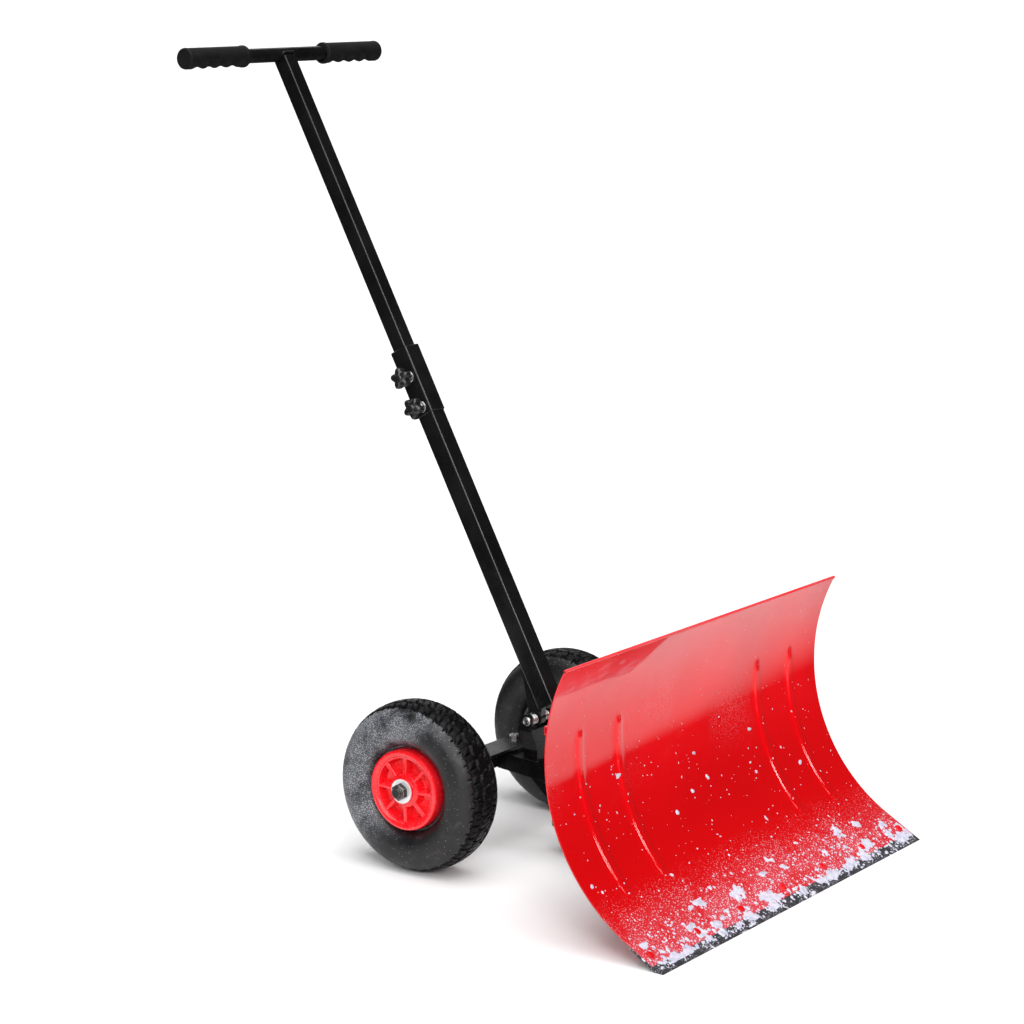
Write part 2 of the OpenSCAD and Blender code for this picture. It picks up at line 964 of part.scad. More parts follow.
// Tyre with two grooves around it and a row of notches across each shoulder
module tyre() {
    color([0.1, 0.1, 0.11])
        difference() {
            rotate_extrude($fn = 180)
                difference() {
                    tyre_2d();
                    for (y = [-groove_at, groove_at])
                        translate([wheel_d / 2 - tread_deep, y - groove_w / 2])
                            square([20, groove_w]);
                }
            for (i = [0 : tread_blocks - 1], s = [-1, 1])
                rotate([0, 0, (i + s / 4) * 360 / tread_blocks])
                    translate([wheel_d / 2 - tread_deep - 1, -groove_w / 2, s * notch_at - notch_w / 2])
                        cube([20, groove_w, notch_w]);
        }
}

// Outer half: rim, recessed web with ribs, and the boss around the bush
module outer_hub() {
    color("red")
        difference() {
            union() {
                difference() {
                    cylinder(h = hub_half, r = rim_r);
                    translate([0, 0, hub_web + hub_web_t])
                        cylinder(h = hub_half, r = rim_r - hub_wall);
                }
                cylinder(h = hub_half, r = boss_r);
                for (i = [0 : hub_ribs - 1])
                    rotate([0, 0, i * 360 / hub_ribs])
                        translate([boss_r - 2, -hub_rib_t / 2, hub_web])
                            cube([rim_r - boss_r - 1, hub_rib_t, hub_half - hub_web - 7]);
            }
            translate([0, 0, -1])
                cylinder(h = hub_web + 1, r = rim_r - hub_wall);
            translate([0, 0, -1])
                cylinder(h = hub_half + 2, r = bush_r + fit);
        }
    color("red")
        difference() {
            cylinder(h = hub_web + 1, r = boss_r);
            translate([0, 0, -1])
                cylinder(h = hub_half + 2, r = bush_r + fit);
        }
}

// Inner half: a plain dish that closes the wheel on the chassis side
module inner_hub() {
    deep = hub_half - fit;
    color([0.07, 0.07, 0.07])
        mirror([0, 0, 1])
            translate([0, 0, fit])
                difference() {
                    union() {
                        difference() {
                            cylinder(h = deep, r = rim_r);
                            translate([0, 0, 20])
                                cylinder(h = deep, r = rim_r - hub_wall);
                        }
                        cylinder(h = deep, r = boss_r);
                    }
                    difference() {
                        translate([0, 0, -1])
                            cylinder(h = 17, r = rim_r - hub_wall);
                        translate([0, 0, -2])
                            cylinder(h = 20, r = boss_r);
                    }
                    translate([0, 0, -1])
                        cylinder(h = deep + 2, r = bush_r + fit);
                }
}

// Two flanged bushes, one from each side of the wheel
module hub_bushes() {
    color("ivory")
        for (m = [0, 1])
            mirror([0, 0, m])
                difference() {
                    union() {
                        translate([0, 0, hub_half - hub_bush_deep])
                            cylinder(h = hub_bush_deep + fit, r = bush_r);
                        translate([0, 0, hub_half + fit])
                            cylinder(h = washer_t - 2 * fit, r = hub_flange_r);
                    }
                    cylinder(h = hub_half + 10, r = axle_r + fit);
                }
}

module left_tyre() { from_axle() at_left_wheel() tyre(); }
module left_outer_hub() { from_axle() at_left_wheel() outer_hub(); }
module left_inner_hub() { from_axle() at_left_wheel() inner_hub(); }
module left_hub_bushes() { from_axle() at_left_wheel() hub_bushes(); }
module right_tyre() { from_axle() at_right_wheel() tyre(); }
module right_outer_hub() { from_axle() at_right_wheel() outer_hub(); }
module right_inner_hub() { from_axle() at_right_wheel() inner_hub(); }
module right_hub_bushes() { from_axle() at_right_wheel() hub_bushes(); }

// Welded lug that hangs the lower tube on the tilt pin
module handle_lug() {
    half = lower_tube / 2;
    from_axle() color([0.07, 0.07, 0.07])
        on_handle()
            difference() {
                union() {
                    translate([0, tilt_off, tilt_s])
                        rod_x(-lug_half, lug_half, lug_r);
                    across(-lug_half, lug_half)
                        polygon([
                            [half + fit, 0],
                            [half + fit, lug_long],
                            [half + 8, lug_long],
                            [tilt_off + 10, tilt_s + 3],
                            [tilt_off - 7, tilt_s - 7]
                        ]);
                }
                translate([0, tilt_off, tilt_s])
                    rod_x(-lug_half - 1, lug_half + 1, tilt_pin_r + fit);
            }
}

// A square tube along the handle, from s0 to s1
module handle_tube(side, wall, s0, s1) {
    difference() {
        translate([-side / 2, -side / 2, s0])
            cube([side, side, s1 - s0]);
        translate([-side / 2 + wall, -side / 2 + wall, s0 - 1])
            cube([side - 2 * wall, side - 2 * wall, s1 - s0 + 2]);
    }
}

module knob_holes(r) {
    for (s = knob_s)
        translate([0, 0, s])
            rod_x(-40, 0, r);
}

module lower_tube_section() {
    from_axle() color([0.07, 0.07, 0.07])
        on_handle()
            difference() {
                union() {
                    handle_tube(lower_tube, tube_wall, 0, lower_tube_top);
                    translate([-lower_tube / 2, -lower_tube / 2, 0])
                        cube([lower_tube, lower_tube, 2]);
                }
                knob_holes(stud_r + 2 * fit);
            }
}

// Sleeve over the top of the lower tube, closed down to the upper tube's size at its top
module handle_collar() {
    from_axle() color([0.07, 0.07, 0.07])
        on_handle()
            difference() {
                translate([-collar / 2, -collar / 2, collar_from])
                    cube([collar, collar, collar_to - collar_from]);
                translate([-lower_tube / 2 - fit, -lower_tube / 2 - fit, collar_from - 1])
                    cube([lower_tube + 2 * fit, lower_tube + 2 * fit, lower_tube_top + 1 - collar_from + fit]);
                translate([-upper_tube / 2 - small, -upper_tube / 2 - small, 0])
                    cube([upper_tube + 2 * small, upper_tube + 2 * small, collar_to + 1]);
                knob_holes(stud_r + 2 * fit);
            }
}

// Plastic liner between the two tubes at the top of the lower one
module guide_bush() {
    outer = lower_tube - 2 * tube_wall - 2 * fit;
    from_axle() color("dimgray")
        on_handle()
            handle_tube(outer, (outer - upper_tube) / 2 - fit, lower_tube_top - liner_long, lower_tube_top);
}

nut_h = 7;

// Two threaded nuts welded to the collar's side
module collar_nuts() {
    from_axle() color("silver")
        on_handle()
            for (s = knob_s)
                translate([0, 0, s])
                    difference() {
                        hex_x(-collar / 2 - nut_h, -collar / 2 - fit, collar_nut_af);
                        rod_x(-60, 0, stud_r + fit);
                    }
}

knob_gap = 4;
knob_t = 14;

// Star knob on a threaded stud, its tip just clear of the upper tube
module clamp_knob(s) {
    face = -collar / 2 - nut_h - knob_gap;
    tip = -upper_tube / 2 - small;
    color([0.05, 0.05, 0.05])
        on_handle()
            translate([0, 0, s]) {
                rod_x(face - knob_t + knob_dish, face - knob_dish, knob_r - knob_lobe_r + 0.5);
                for (i = [0 : knob_lobes - 1])
                    rotate([i * 360 / knob_lobes, 0, 0])
                        translate([0, 0, knob_r - knob_lobe_r])
                            rod_x(face - knob_t, face, knob_lobe_r);
                rod_x(face - knob_t - 3, face - knob_t + 1, knob_r - 2 * knob_lobe_r - 1);
            }
    color("silver")
        on_handle()
            translate([0, 0, s])
                rod_x(face - 2, tip, stud_r);
}

module upper_clamp_knob() { from_axle() clamp_knob(knob_s[1]); }
module lower_clamp_knob() { from_axle() clamp_knob(knob_s[0]); }

module upper_tube_section() {
    from_axle() color([0.07, 0.07, 0.07])
        on_handle()
            difference() {
                handle_tube(upper_tube, tube_wall, upper_tube_bottom, handle_length);
                translate([0, 0, handle_length])
                    rod_x(-100, 100, t_bar_d / 2 + fit);
            }
}

// Plastic foot that keeps the upper tube centred in the lower one
module tube_glide() {
    outer = lower_tube - 2 * tube_wall - 2 * small;
    inner = upper_tube - 2 * tube_wall - 2 * fit;
    from_axle() color("dimgray")
        on_handle() {
            translate([-outer / 2, -outer / 2, upper_tube_bottom - glide_t - fit])
                cube([outer, outer, glide_t]);
            translate([-inner / 2, -inner / 2, upper_tube_bottom - glide_t - fit])
                cube([inner, inner, glide_plug]);
        }
}

t_bar_half = t_bar_length / 2;

module t_bar() {
    from_axle() color([0.07, 0.07, 0.07])
        on_handle()
            translate([0, 0, handle_length])
                difference() {
                    rod_x(-t_bar_half + 5, t_bar_half - 5, t_bar_d / 2);
                    rod_x(-t_bar_half, t_bar_half, t_bar_d / 2 - tube_wall);
                }
}

scallops = 4;
scallop_r = 15;
scallop_deep = 2.6;
grip_end = 13;

// Closed-end grip with finger hollows on its underside
module grip() {
    pitch = (grip_length - 2 * grip_end) / scallops;
    color([0.06, 0.06, 0.06])
        translate([0, handle_foot[0] + handle_length * cos(handle_angle),
            handle_foot[1] + handle_length * sin(handle_angle)])
            difference() {
                union() {
                    rod_x(t_bar_half - grip_length, t_bar_half - 2, grip_d / 2);
                    rod_x(t_bar_half - 3, t_bar_half, grip_d / 2 - 2);
                    rod_x(t_bar_half - grip_length, t_bar_half - grip_length + 5, grip_d / 2 + 1);
                }
                rod_x(0, t_bar_half - 5 + fit, t_bar_d / 2 + fit);
                for (i = [0 : scallops - 1])
                    translate([t_bar_half - grip_end - (i + 0.5) * pitch, 0,
                        -grip_d / 2 - scallop_r + scallop_deep])
                        rotate([90, 0, 0])
                            translate([0, 0, -30])
                                cylinder(h = 60, r = scallop_r);
            }
}

module right_grip() { from_axle() grip(); }
module left_grip() { from_axle() mirror([1, 0, 0]) grip(); }

blade_shell();
scraper_edge();
scraper_bolts();
scraper_nuts();
top_back_rail();
lower_back_rail();
back_straps();
carrier_backing_plate();
carrier_arms();
carrier_cross_plate();
yoke_top_plate();
yoke_bottom_plate();
kingpin_bolt();
kingpin_washer();
kingpin_nut();
swivel_clamp_bolt();
swivel_clamp_washer();
swivel_clamp_knob();
kingpin_barrel();
kingpin_bushes();
thrust_washers();
swivel_quadrant();
centre_beam();
diagonal_brace();
handle_post();
tilt_pin();
tilt_pin_nut();
tilt_springs();
axle_tube();
axle_top_plate();
axle_plate_bolts();
axle_shaft();
axle_plugs();
axle_spacers();
axle_washers();
axle_nuts();
left_tyre();
left_outer_hub();
left_inner_hub();
left_hub_bushes();
right_tyre();
right_outer_hub();
right_inner_hub();
right_hub_bushes();
handle_lug();
lower_tube_section();
handle_collar();
guide_bush();
collar_nuts();
upper_clamp_knob();
lower_clamp_knob();
upper_tube_section();
tube_glide();
t_bar();
left_grip();
right_grip();
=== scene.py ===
"""The wheeled snow shovel's visible surfaces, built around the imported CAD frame.

Everything is in metres in the CAD's row frame: X across the blade, -Y is the pushing
direction, Z is up, the origin is under the scraper's edge.
"""

import json
import math
import random

import bmesh
import bpy
import numpy as np
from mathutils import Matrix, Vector, noise


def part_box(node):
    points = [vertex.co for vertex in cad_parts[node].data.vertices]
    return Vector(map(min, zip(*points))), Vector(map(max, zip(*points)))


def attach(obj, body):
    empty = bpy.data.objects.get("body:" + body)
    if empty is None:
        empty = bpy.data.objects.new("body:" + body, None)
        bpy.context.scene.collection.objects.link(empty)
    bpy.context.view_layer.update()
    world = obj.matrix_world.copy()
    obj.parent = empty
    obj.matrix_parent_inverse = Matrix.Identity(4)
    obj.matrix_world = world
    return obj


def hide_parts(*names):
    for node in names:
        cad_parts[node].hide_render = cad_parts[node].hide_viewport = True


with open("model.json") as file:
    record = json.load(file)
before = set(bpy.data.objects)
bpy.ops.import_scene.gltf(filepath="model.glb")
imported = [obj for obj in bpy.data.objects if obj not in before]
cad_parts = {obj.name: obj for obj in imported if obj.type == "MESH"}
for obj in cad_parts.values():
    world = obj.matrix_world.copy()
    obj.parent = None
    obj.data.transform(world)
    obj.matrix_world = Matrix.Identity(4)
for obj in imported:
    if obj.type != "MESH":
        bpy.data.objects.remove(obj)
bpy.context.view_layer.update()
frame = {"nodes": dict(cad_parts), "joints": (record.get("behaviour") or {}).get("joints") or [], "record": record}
joints = {j["name"]: j for j in frame["joints"]}
MM = 0.001
AXLE_Y = joints["left_wheel_spin"]["pos_m"][1]


# ---------------------------------------------------------------- materials


class Finish:
    """A material with a Principled shader and short ways to add nodes to it."""

    def __init__(self, name):
        self.material = bpy.data.materials.new(name)
        self.material.use_nodes = True
        self.tree = self.material.node_tree
        self.tree.nodes.clear()
        out = self.add("ShaderNodeOutputMaterial")
        self.shader = self.add("ShaderNodeBsdfPrincipled")
        self.tree.links.new(self.shader.outputs[0], out.inputs[0])
        self.place = self.add("ShaderNodeTexCoord").outputs["Object"]

    def add(self, kind, **settings):
        node = self.tree.nodes.new(kind)
        for key, value in settings.items():
            setattr(node, key, value)
        return node

    def put(self, socket, value):
        if isinstance(value, bpy.types.NodeSocket):
            self.tree.links.new(value, socket)
        else:
            socket.default_value = value

    def set(self, **values):
        for key, value in values.items():
            self.put(self.shader.inputs[key.replace("_", " ")], value)

    def noise(self, scale, detail=3.0, rough=0.5, place=None, distort=0.0):
        node = self.add("ShaderNodeTexNoise")
        self.put(node.inputs["Vector"], place or self.place)
        self.put(node.inputs["Scale"], scale)
        self.put(node.inputs["Detail"], detail)
        self.put(node.inputs["Roughness"], rough)
        self.put(node.inputs["Distortion"], distort)
        return node.outputs[0]

    def cells(self, scale, feature="F1"):
        node = self.add("ShaderNodeTexVoronoi", feature=feature)
        self.put(node.inputs["Vector"], self.place)
        self.put(node.inputs["Scale"], scale)
        return node.outputs["Distance"]

    def stretch(self, x, y, z):
        node = self.add("ShaderNodeMapping")
        self.put(node.inputs["Vector"], self.place)
        self.put(node.inputs["Scale"], (x, y, z))
        return node.outputs[0]

    def ramp(self, value, low, high, to_low=0.0, to_high=1.0):
        node = self.add("ShaderNodeMapRange", interpolation_type="SMOOTHSTEP")
        for name, setting in (("Value", value), ("From Min", low), ("From Max", high),
                              ("To Min", to_low), ("To Max", to_high)):
            self.put(node.inputs[name], setting)
        return node.outputs[0]

    def math(self, operation, a, b=0.0):
        node = self.add("ShaderNodeMath", operation=operation, use_clamp=operation == "ADD")
        self.put(node.inputs[0], a)
        self.put(node.inputs[1], b)
        return node.outputs[0]

    def mix(self, factor, a, b):
        node = self.add("ShaderNodeMix", data_type="RGBA")
        self.put(node.inputs[0], factor)
        self.put(node.inputs[6], a)
        self.put(node.inputs[7], b)
        return node.outputs[2]

    def axis(self, index):
        node = self.add("ShaderNodeSeparateXYZ")
        self.put(node.inputs[0], self.place)
        return node.outputs[index]

    def rounded(self, radius):
        node = self.add("ShaderNodeBevel", samples=4)
        self.put(node.inputs["Radius"], radius)
        return node.outputs[0]

    def edges(self, radius):
        """High along sharp edges, from how far the rounded normal leans from the flat one."""
        geometry = self.add("ShaderNodeNewGeometry")
        dot = self.add("ShaderNodeVectorMath", operation="DOT_PRODUCT")
        self.put(dot.inputs[0], self.rounded(radius))
        self.put(dot.inputs[1], geometry.outputs["Normal"])
        return self.ramp(dot.outputs["Value"], 0.99, 0.9)

    def bump(self, height, strength, distance, normal=None):
        node = self.add("ShaderNodeBump")
        self.put(node.inputs["Height"], height)
        self.put(node.inputs["Strength"], strength)
        self.put(node.inputs["Distance"], distance)
        if normal is not None:
            self.put(node.inputs["Normal"], normal)
        return node.outputs[0]


def rgb(r, g, b):
    return (r, g, b, 1.0)


SNOW_WHITE = rgb(0.66, 0.66, 0.76)
RED = rgb(0.76, 0.0035, 0.009)
DEEP_RED = rgb(0.60, 0.001, 0.004)


def red_paint():
    """Glossy red enamel with a fine peel, faint dust and rubbed edges."""
    f = Finish("red_enamel")
    tone = f.mix(f.ramp(f.noise(9.0, 2.0), 0.35, 0.65), RED, DEEP_RED)
    dust = f.math("MULTIPLY", f.ramp(f.noise(55.0, 5.0, 0.6), 0.52, 0.75), 0.10)
    tone = f.mix(dust, tone, rgb(0.75, 0.35, 0.33))
    worn = f.math("MULTIPLY", f.edges(0.0012), f.ramp(f.noise(180.0, 4.0), 0.5, 0.68))
    f.set(Base_Color=f.mix(f.math("MULTIPLY", worn, 0.55), tone, rgb(0.95, 0.16, 0.16)))
    f.set(Roughness=f.ramp(f.noise(70.0, 4.0), 0.3, 0.75, 0.16, 0.34))
    f.set(Coat_Weight=0.5, Coat_Roughness=0.08)
    f.set(Normal=f.bump(f.noise(420.0, 2.0), 0.10, 0.0006, f.rounded(0.0009)))
    return f.material


def blade_paint():
    """The blade's enamel: meltwater droplets, a hazy film and frost towards its foot, with painted shade darkening
    the red towards the foot and a painted pale reflection near the top.
    """
    f = Finish("blade_enamel")
    height = f.axis(2)
    # Painted shade and light: the red is darker towards the foot and brighter towards the top, standing in for how
    # the light falls on the curved blade.
    tone = f.mix(f.ramp(height, 0.30, 0.10), rgb(0.93, 0.003, 0.008), rgb(0.56, 0.0008, 0.002))
    blush = f.math("MULTIPLY", f.ramp(f.noise(5.0, 2.0), 0.35, 0.65), 0.3)
    tone = f.mix(blush, tone, rgb(0.5, 0.0008, 0.003))
    drops = f.cells(330.0)
    dot = f.ramp(drops, 0.34, 0.22)
    low = f.ramp(height, 0.082, 0.012)
    patches = f.ramp(f.noise(15.0, 4.0, 0.6, distort=0.4), 0.40, 0.62)
    frost_area = f.math("MULTIPLY", low, f.math("ADD", patches, 0.35))
    film = f.math("MULTIPLY", f.ramp(f.noise(7.0, 3.0, 0.55), 0.50, 0.68),
                  f.ramp(height, 0.16, 0.24))
    frost = f.math("MULTIPLY", dot, f.math("MULTIPLY", frost_area, 0.95))
    haze = f.math("MULTIPLY", f.ramp(f.cells(520.0), 0.34, 0.22), f.math("MULTIPLY", film, 0.3))
    specks = f.math("MULTIPLY", f.ramp(f.cells(95.0), 0.07, 0.045), 0.8)
    white = f.math("ADD", f.math("ADD", frost, haze), specks)
    tone = f.mix(f.math("MULTIPLY", f.math("MULTIPLY", frost_area, low), 0.35), tone, rgb(0.66, 0.20, 0.26))
    # Painted reflection: a pale pink wash near the top of the blade, where it mirrors the bright floor.
    upper = f.math("MULTIPLY", f.ramp(height, 0.25, 0.36), f.ramp(f.noise(6.0, 3.0), 0.2, 0.7, 0.05, 0.14))
    tone = f.mix(upper, tone, rgb(0.90, 0.52, 0.56))
    f.set(Base_Color=f.mix(white, tone, SNOW_WHITE))
    scuffs = f.ramp(f.noise(26.0, 6.0, 0.7, f.stretch(1.0, 5.0, 5.0)), 0.56, 0.72)
    gloss = f.math("ADD", f.ramp(f.noise(3.5, 2.0), 0.3, 0.7, 0.06, 0.11),
                   f.math("MULTIPLY", scuffs, 0.07))
    f.set(Roughness=f.math("ADD", gloss, f.math("MULTIPLY", white, 0.45)))
    f.set(Coat_Weight=f.ramp(white, 0.0, 0.6, 0.22, 0.0), Coat_Roughness=0.04, Specular_IOR_Level=0.38)
    relief = f.math("ADD", f.math("MULTIPLY", white, 0.8), f.math("MULTIPLY", f.noise(150.0, 2.0), 0.06))
    f.set(Normal=f.bump(relief, 0.45, 0.0006))
    return f.material


def black_paint(name="black_powder_coat", shine=0.42):
    """Black powder coat: fine leathery grain, soft sheen, and edges painted slightly grey, partly rubbed wear and
    partly a painted highlight.
    """
    f = Finish(name)
    grain = f.cells(900.0)
    tone = f.mix(f.ramp(f.noise(14.0, 3.0), 0.3, 0.7), rgb(0.003, 0.003, 0.0033), rgb(0.007, 0.007, 0.0075))
    dust = f.math("MULTIPLY", f.ramp(f.noise(38.0, 6.0, 0.65), 0.58, 0.8), 0.025)
    tone = f.mix(dust, tone, rgb(0.2, 0.2, 0.21))
    # Painted highlight and wear: the edges are painted lighter grey, partly rubbed paint and partly standing in
    # for bright corner highlights.
    worn = f.math("MULTIPLY", f.edges(0.001), f.ramp(f.noise(130.0, 4.0), 0.42, 0.7))
    f.set(Base_Color=f.mix(f.math("MULTIPLY", worn, 0.4), tone, rgb(0.09, 0.09, 0.095)))
    f.set(Roughness=f.ramp(f.noise(45.0, 4.0), 0.3, 0.75, 0.20, 0.34))
    f.set(Coat_Weight=shine / 3, Coat_Roughness=0.10, Specular_IOR_Level=shine)
    f.set(Normal=f.bump(grain, 0.12, 0.0004, f.rounded(0.0011)))
    return f.material


def zinc():
    """Bright zinc plate with a faint bluish and straw mottle."""
    f = Finish("zinc_plate")
    tone = f.mix(f.noise(120.0, 3.0), rgb(0.52, 0.54, 0.58), rgb(0.72, 0.70, 0.65))
    tone = f.mix(f.ramp(f.noise(380.0, 5.0, 0.7), 0.56, 0.72), tone, rgb(0.22, 0.21, 0.2))
    f.set(Base_Color=tone, Metallic=1.0)
    f.set(Roughness=f.ramp(f.noise(260.0, 4.0), 0.3, 0.7, 0.18, 0.42))
    f.set(Normal=f.bump(f.noise(700.0, 3.0), 0.10, 0.0003, f.rounded(0.0006)))
    return f.material


def dark_steel():
    """Blackened steel with corners painted lighter, partly polished metal and partly a painted highlight."""
    f = Finish("blackened_steel")
    tone = f.mix(f.noise(150.0, 4.0), rgb(0.02, 0.02, 0.022), rgb(0.07, 0.068, 0.065))
    # Painted highlight and polish: the corners are painted lighter, partly rubbed-bright metal and partly standing
    # in for highlights.
    f.set(Base_Color=f.mix(f.edges(0.0009), tone, rgb(0.42, 0.41, 0.4)), Metallic=0.9)
    f.set(Roughness=f.ramp(f.noise(220.0, 4.0), 0.3, 0.7, 0.28, 0.5))
    f.set(Normal=f.bump(f.noise(500.0, 3.0), 0.15, 0.0004, f.rounded(0.0007)))
    return f.material


def red_plastic():
    """Moulded red plastic of the hubs, glossy, with a little road dust in patches."""
    f = Finish("red_moulded_plastic")
    tone = f.mix(f.ramp(f.noise(12.0, 2.0), 0.35, 0.65), rgb(0.86, 0.008, 0.016), rgb(0.76, 0.004, 0.010))
    dust = f.math("MULTIPLY", f.ramp(f.noise(90.0, 6.0, 0.65), 0.55, 0.75), 0.10)
    tone = f.mix(dust, tone, rgb(0.85, 0.42, 0.42))
    specks = f.ramp(f.cells(240.0), 0.11, 0.07)
    f.set(Base_Color=f.mix(f.math("MULTIPLY", specks, 0.7), tone, SNOW_WHITE))
    f.set(Roughness=f.ramp(f.noise(110.0, 4.0), 0.3, 0.75, 0.18, 0.38))
    f.set(Coat_Weight=0.35, Coat_Roughness=0.1)
    f.set(Normal=f.bump(f.noise(520.0, 2.0), 0.10, 0.0005))
    return f.material


def black_plastic():
    """Moulded black plastic with a fine spark-eroded grain."""
    f = Finish("black_moulded_plastic")
    tone = f.mix(f.noise(60.0, 4.0), rgb(0.006, 0.006, 0.006), rgb(0.016, 0.016, 0.017))
    f.set(Base_Color=tone, Coat_Weight=0.3, Coat_Roughness=0.12)
    f.set(Roughness=f.ramp(f.noise(130.0, 4.0), 0.3, 0.7, 0.18, 0.36))
    f.set(Normal=f.bump(f.cells(1400.0), 0.08, 0.0003, f.rounded(0.0006)))
    return f.material


def pale_nylon():
    """Off-white nylon with a slightly greasy mottle."""
    f = Finish("natural_nylon")
    tone = f.mix(f.ramp(f.noise(90.0, 4.0), 0.35, 0.7), rgb(0.74, 0.72, 0.66), rgb(0.60, 0.58, 0.52))
    f.set(Base_Color=tone, Subsurface_Weight=0.08)
    f.set(Roughness=f.ramp(f.noise(200.0, 3.0), 0.3, 0.7, 0.34, 0.5))
    f.set(Normal=f.bump(f.noise(600.0, 3.0), 0.1, 0.0003, f.rounded(0.0005)))
    return f.material


def liner_plastic():
    """Dark grey liner plastic, rubbed matt."""
    f = Finish("liner_plastic_grey")
    tone = f.mix(f.noise(80.0, 4.0), rgb(0.05, 0.05, 0.052), rgb(0.09, 0.09, 0.092))
    f.set(Base_Color=tone, Roughness=f.ramp(f.noise(200.0, 4.0), 0.3, 0.7, 0.45, 0.62))
    f.set(Normal=f.bump(f.noise(700.0, 3.0), 0.12, 0.0003, f.rounded(0.0005)))
    return f.material


def tyre_rubber():
    """Charcoal tyre rubber: grainy, dusty, with frost caught in its upper half."""
    f = Finish("tyre_rubber_frosted")
    tone = f.mix(f.ramp(f.noise(24.0, 4.0), 0.3, 0.7), rgb(0.005, 0.005, 0.006), rgb(0.011, 0.011, 0.012))
    scuff = f.math("MULTIPLY", f.ramp(f.noise(60.0, 7.0, 0.7), 0.52, 0.75), 0.16)
    tone = f.mix(scuff, tone, rgb(0.14, 0.15, 0.16))
    slope = f.math("ADD", f.axis(1), f.math("MULTIPLY", f.axis(2), 0.7))
    rear = f.ramp(slope, AXLE_Y + 0.05, AXLE_Y + 0.17)
    rear = f.math("MULTIPLY", rear, f.ramp(f.axis(0), 0.0, -0.1))
    cloud = f.ramp(f.noise(17.0, 5.0, 0.65), 0.34, 0.58)
    frost = f.math("MULTIPLY", f.ramp(f.cells(560.0), 0.42, 0.24), f.math("MULTIPLY", rear, cloud))
    tone = f.mix(f.math("MULTIPLY", f.math("MULTIPLY", rear, cloud), 0.22), tone, rgb(0.40, 0.41, 0.46))
    sprinkle = f.math("MULTIPLY", f.ramp(f.cells(210.0), 0.10, 0.06), 0.6)
    white = f.math("ADD", f.math("MULTIPLY", frost, 0.75), sprinkle)
    f.set(Base_Color=f.mix(white, tone, rgb(0.62, 0.65, 0.70)), Specular_IOR_Level=0.38)
    f.set(Roughness=f.ramp(f.noise(80.0, 4.0), 0.3, 0.7, 0.33, 0.48))
    ripple = f.math("MULTIPLY", f.noise(60.0, 3.0), 0.3)
    pebble = f.math("MULTIPLY", f.noise(900.0, 3.0), 0.25)
    f.set(Normal=f.bump(f.math("ADD", ripple, pebble), 0.28, 0.0008))
    return f.material


def tread_rubber():
    """Wet black tread rubber with fine scuffs across the blocks."""
    f = Finish("tread_rubber_wet")
    mottle = f.ramp(f.noise(30.0, 4.0), 0.3, 0.7)
    tone = f.mix(mottle, rgb(0.0025, 0.0025, 0.003), rgb(0.006, 0.006, 0.0065))
    scuff = f.math("MULTIPLY", f.ramp(f.noise(80.0, 7.0, 0.7), 0.58, 0.78), 0.10)
    f.set(Base_Color=f.mix(scuff, tone, rgb(0.07, 0.07, 0.08)), Specular_IOR_Level=0.12)
    f.set(Roughness=f.ramp(f.noise(70.0, 4.0), 0.3, 0.7, 0.24, 0.5))
    sipes = f.ramp(f.cells(120.0, feature="DISTANCE_TO_EDGE"), 0.0, 0.045)
    pebble = f.math("MULTIPLY", f.noise(800.0, 3.0), 0.2)
    f.set(Normal=f.bump(f.math("ADD", f.math("MULTIPLY", sipes, 0.3), pebble), 0.25, 0.0008))
    return f.material


def washer_plate():
    """Bright plain washer, zinc plated and lightly brushed."""
    f = Finish("bright_washer")
    tone = f.mix(f.noise(160.0, 3.0), rgb(0.80, 0.81, 0.83), rgb(0.93, 0.93, 0.93))
    f.set(Base_Color=tone, Metallic=0.55)
    f.set(Roughness=f.ramp(f.noise(260.0, 4.0), 0.3, 0.7, 0.3, 0.5))
    f.set(Normal=f.bump(f.noise(700.0, 3.0), 0.10, 0.0003, f.rounded(0.0006)))
    return f.material


def grip_rubber():
    """Matt black foam rubber with small open pores."""
    f = Finish("grip_foam_rubber")
    pores = f.cells(650.0)
    tone = f.mix(f.noise(40.0, 4.0), rgb(0.004, 0.004, 0.0045), rgb(0.009, 0.009, 0.0095))
    dust = f.math("MULTIPLY", f.ramp(f.noise(70.0, 5.0), 0.55, 0.75), 0.15)
    tone = f.mix(dust, tone, rgb(0.04, 0.04, 0.045))
    f.set(Base_Color=tone, Specular_IOR_Level=0.25)
    f.set(Roughness=f.ramp(f.noise(60.0, 4.0), 0.3, 0.7, 0.55, 0.75))
    f.set(Normal=f.bump(f.math("ADD", f.ramp(pores, 0.1, 0.5), f.noise(1500.0, 2.0)), 0.35, 0.0006))
    return f.material


def scraper_rubber():
    """Dark worn scraper strip with chips and packed snow."""
    f = Finish("scraper_strip_worn")
    tone = f.mix(f.noise(90.0, 6.0, 0.7), rgb(0.008, 0.009, 0.011), rgb(0.030, 0.034, 0.040))
    chips = f.ramp(f.noise(190.0, 5.0, 0.65), 0.56, 0.64)
    tone = f.mix(f.math("MULTIPLY", chips, 0.6), tone, rgb(0.16, 0.18, 0.20))
    grains = f.math("MULTIPLY", f.ramp(f.cells(420.0), 0.34, 0.22), f.ramp(f.noise(40.0, 4.0), 0.42, 0.6))
    snow = f.math("ADD", grains, f.ramp(f.noise(75.0, 5.0, 0.6, distort=0.6), 0.60, 0.63))
    f.set(Base_Color=f.mix(snow, tone, SNOW_WHITE))
    f.set(Roughness=f.ramp(f.noise(150.0, 4.0), 0.3, 0.7, 0.45, 0.8))
    relief = f.math("ADD", f.math("MULTIPLY", snow, 0.6), f.noise(300.0, 5.0, 0.7))
    f.set(Normal=f.bump(relief, 0.5, 0.0010))
    return f.material


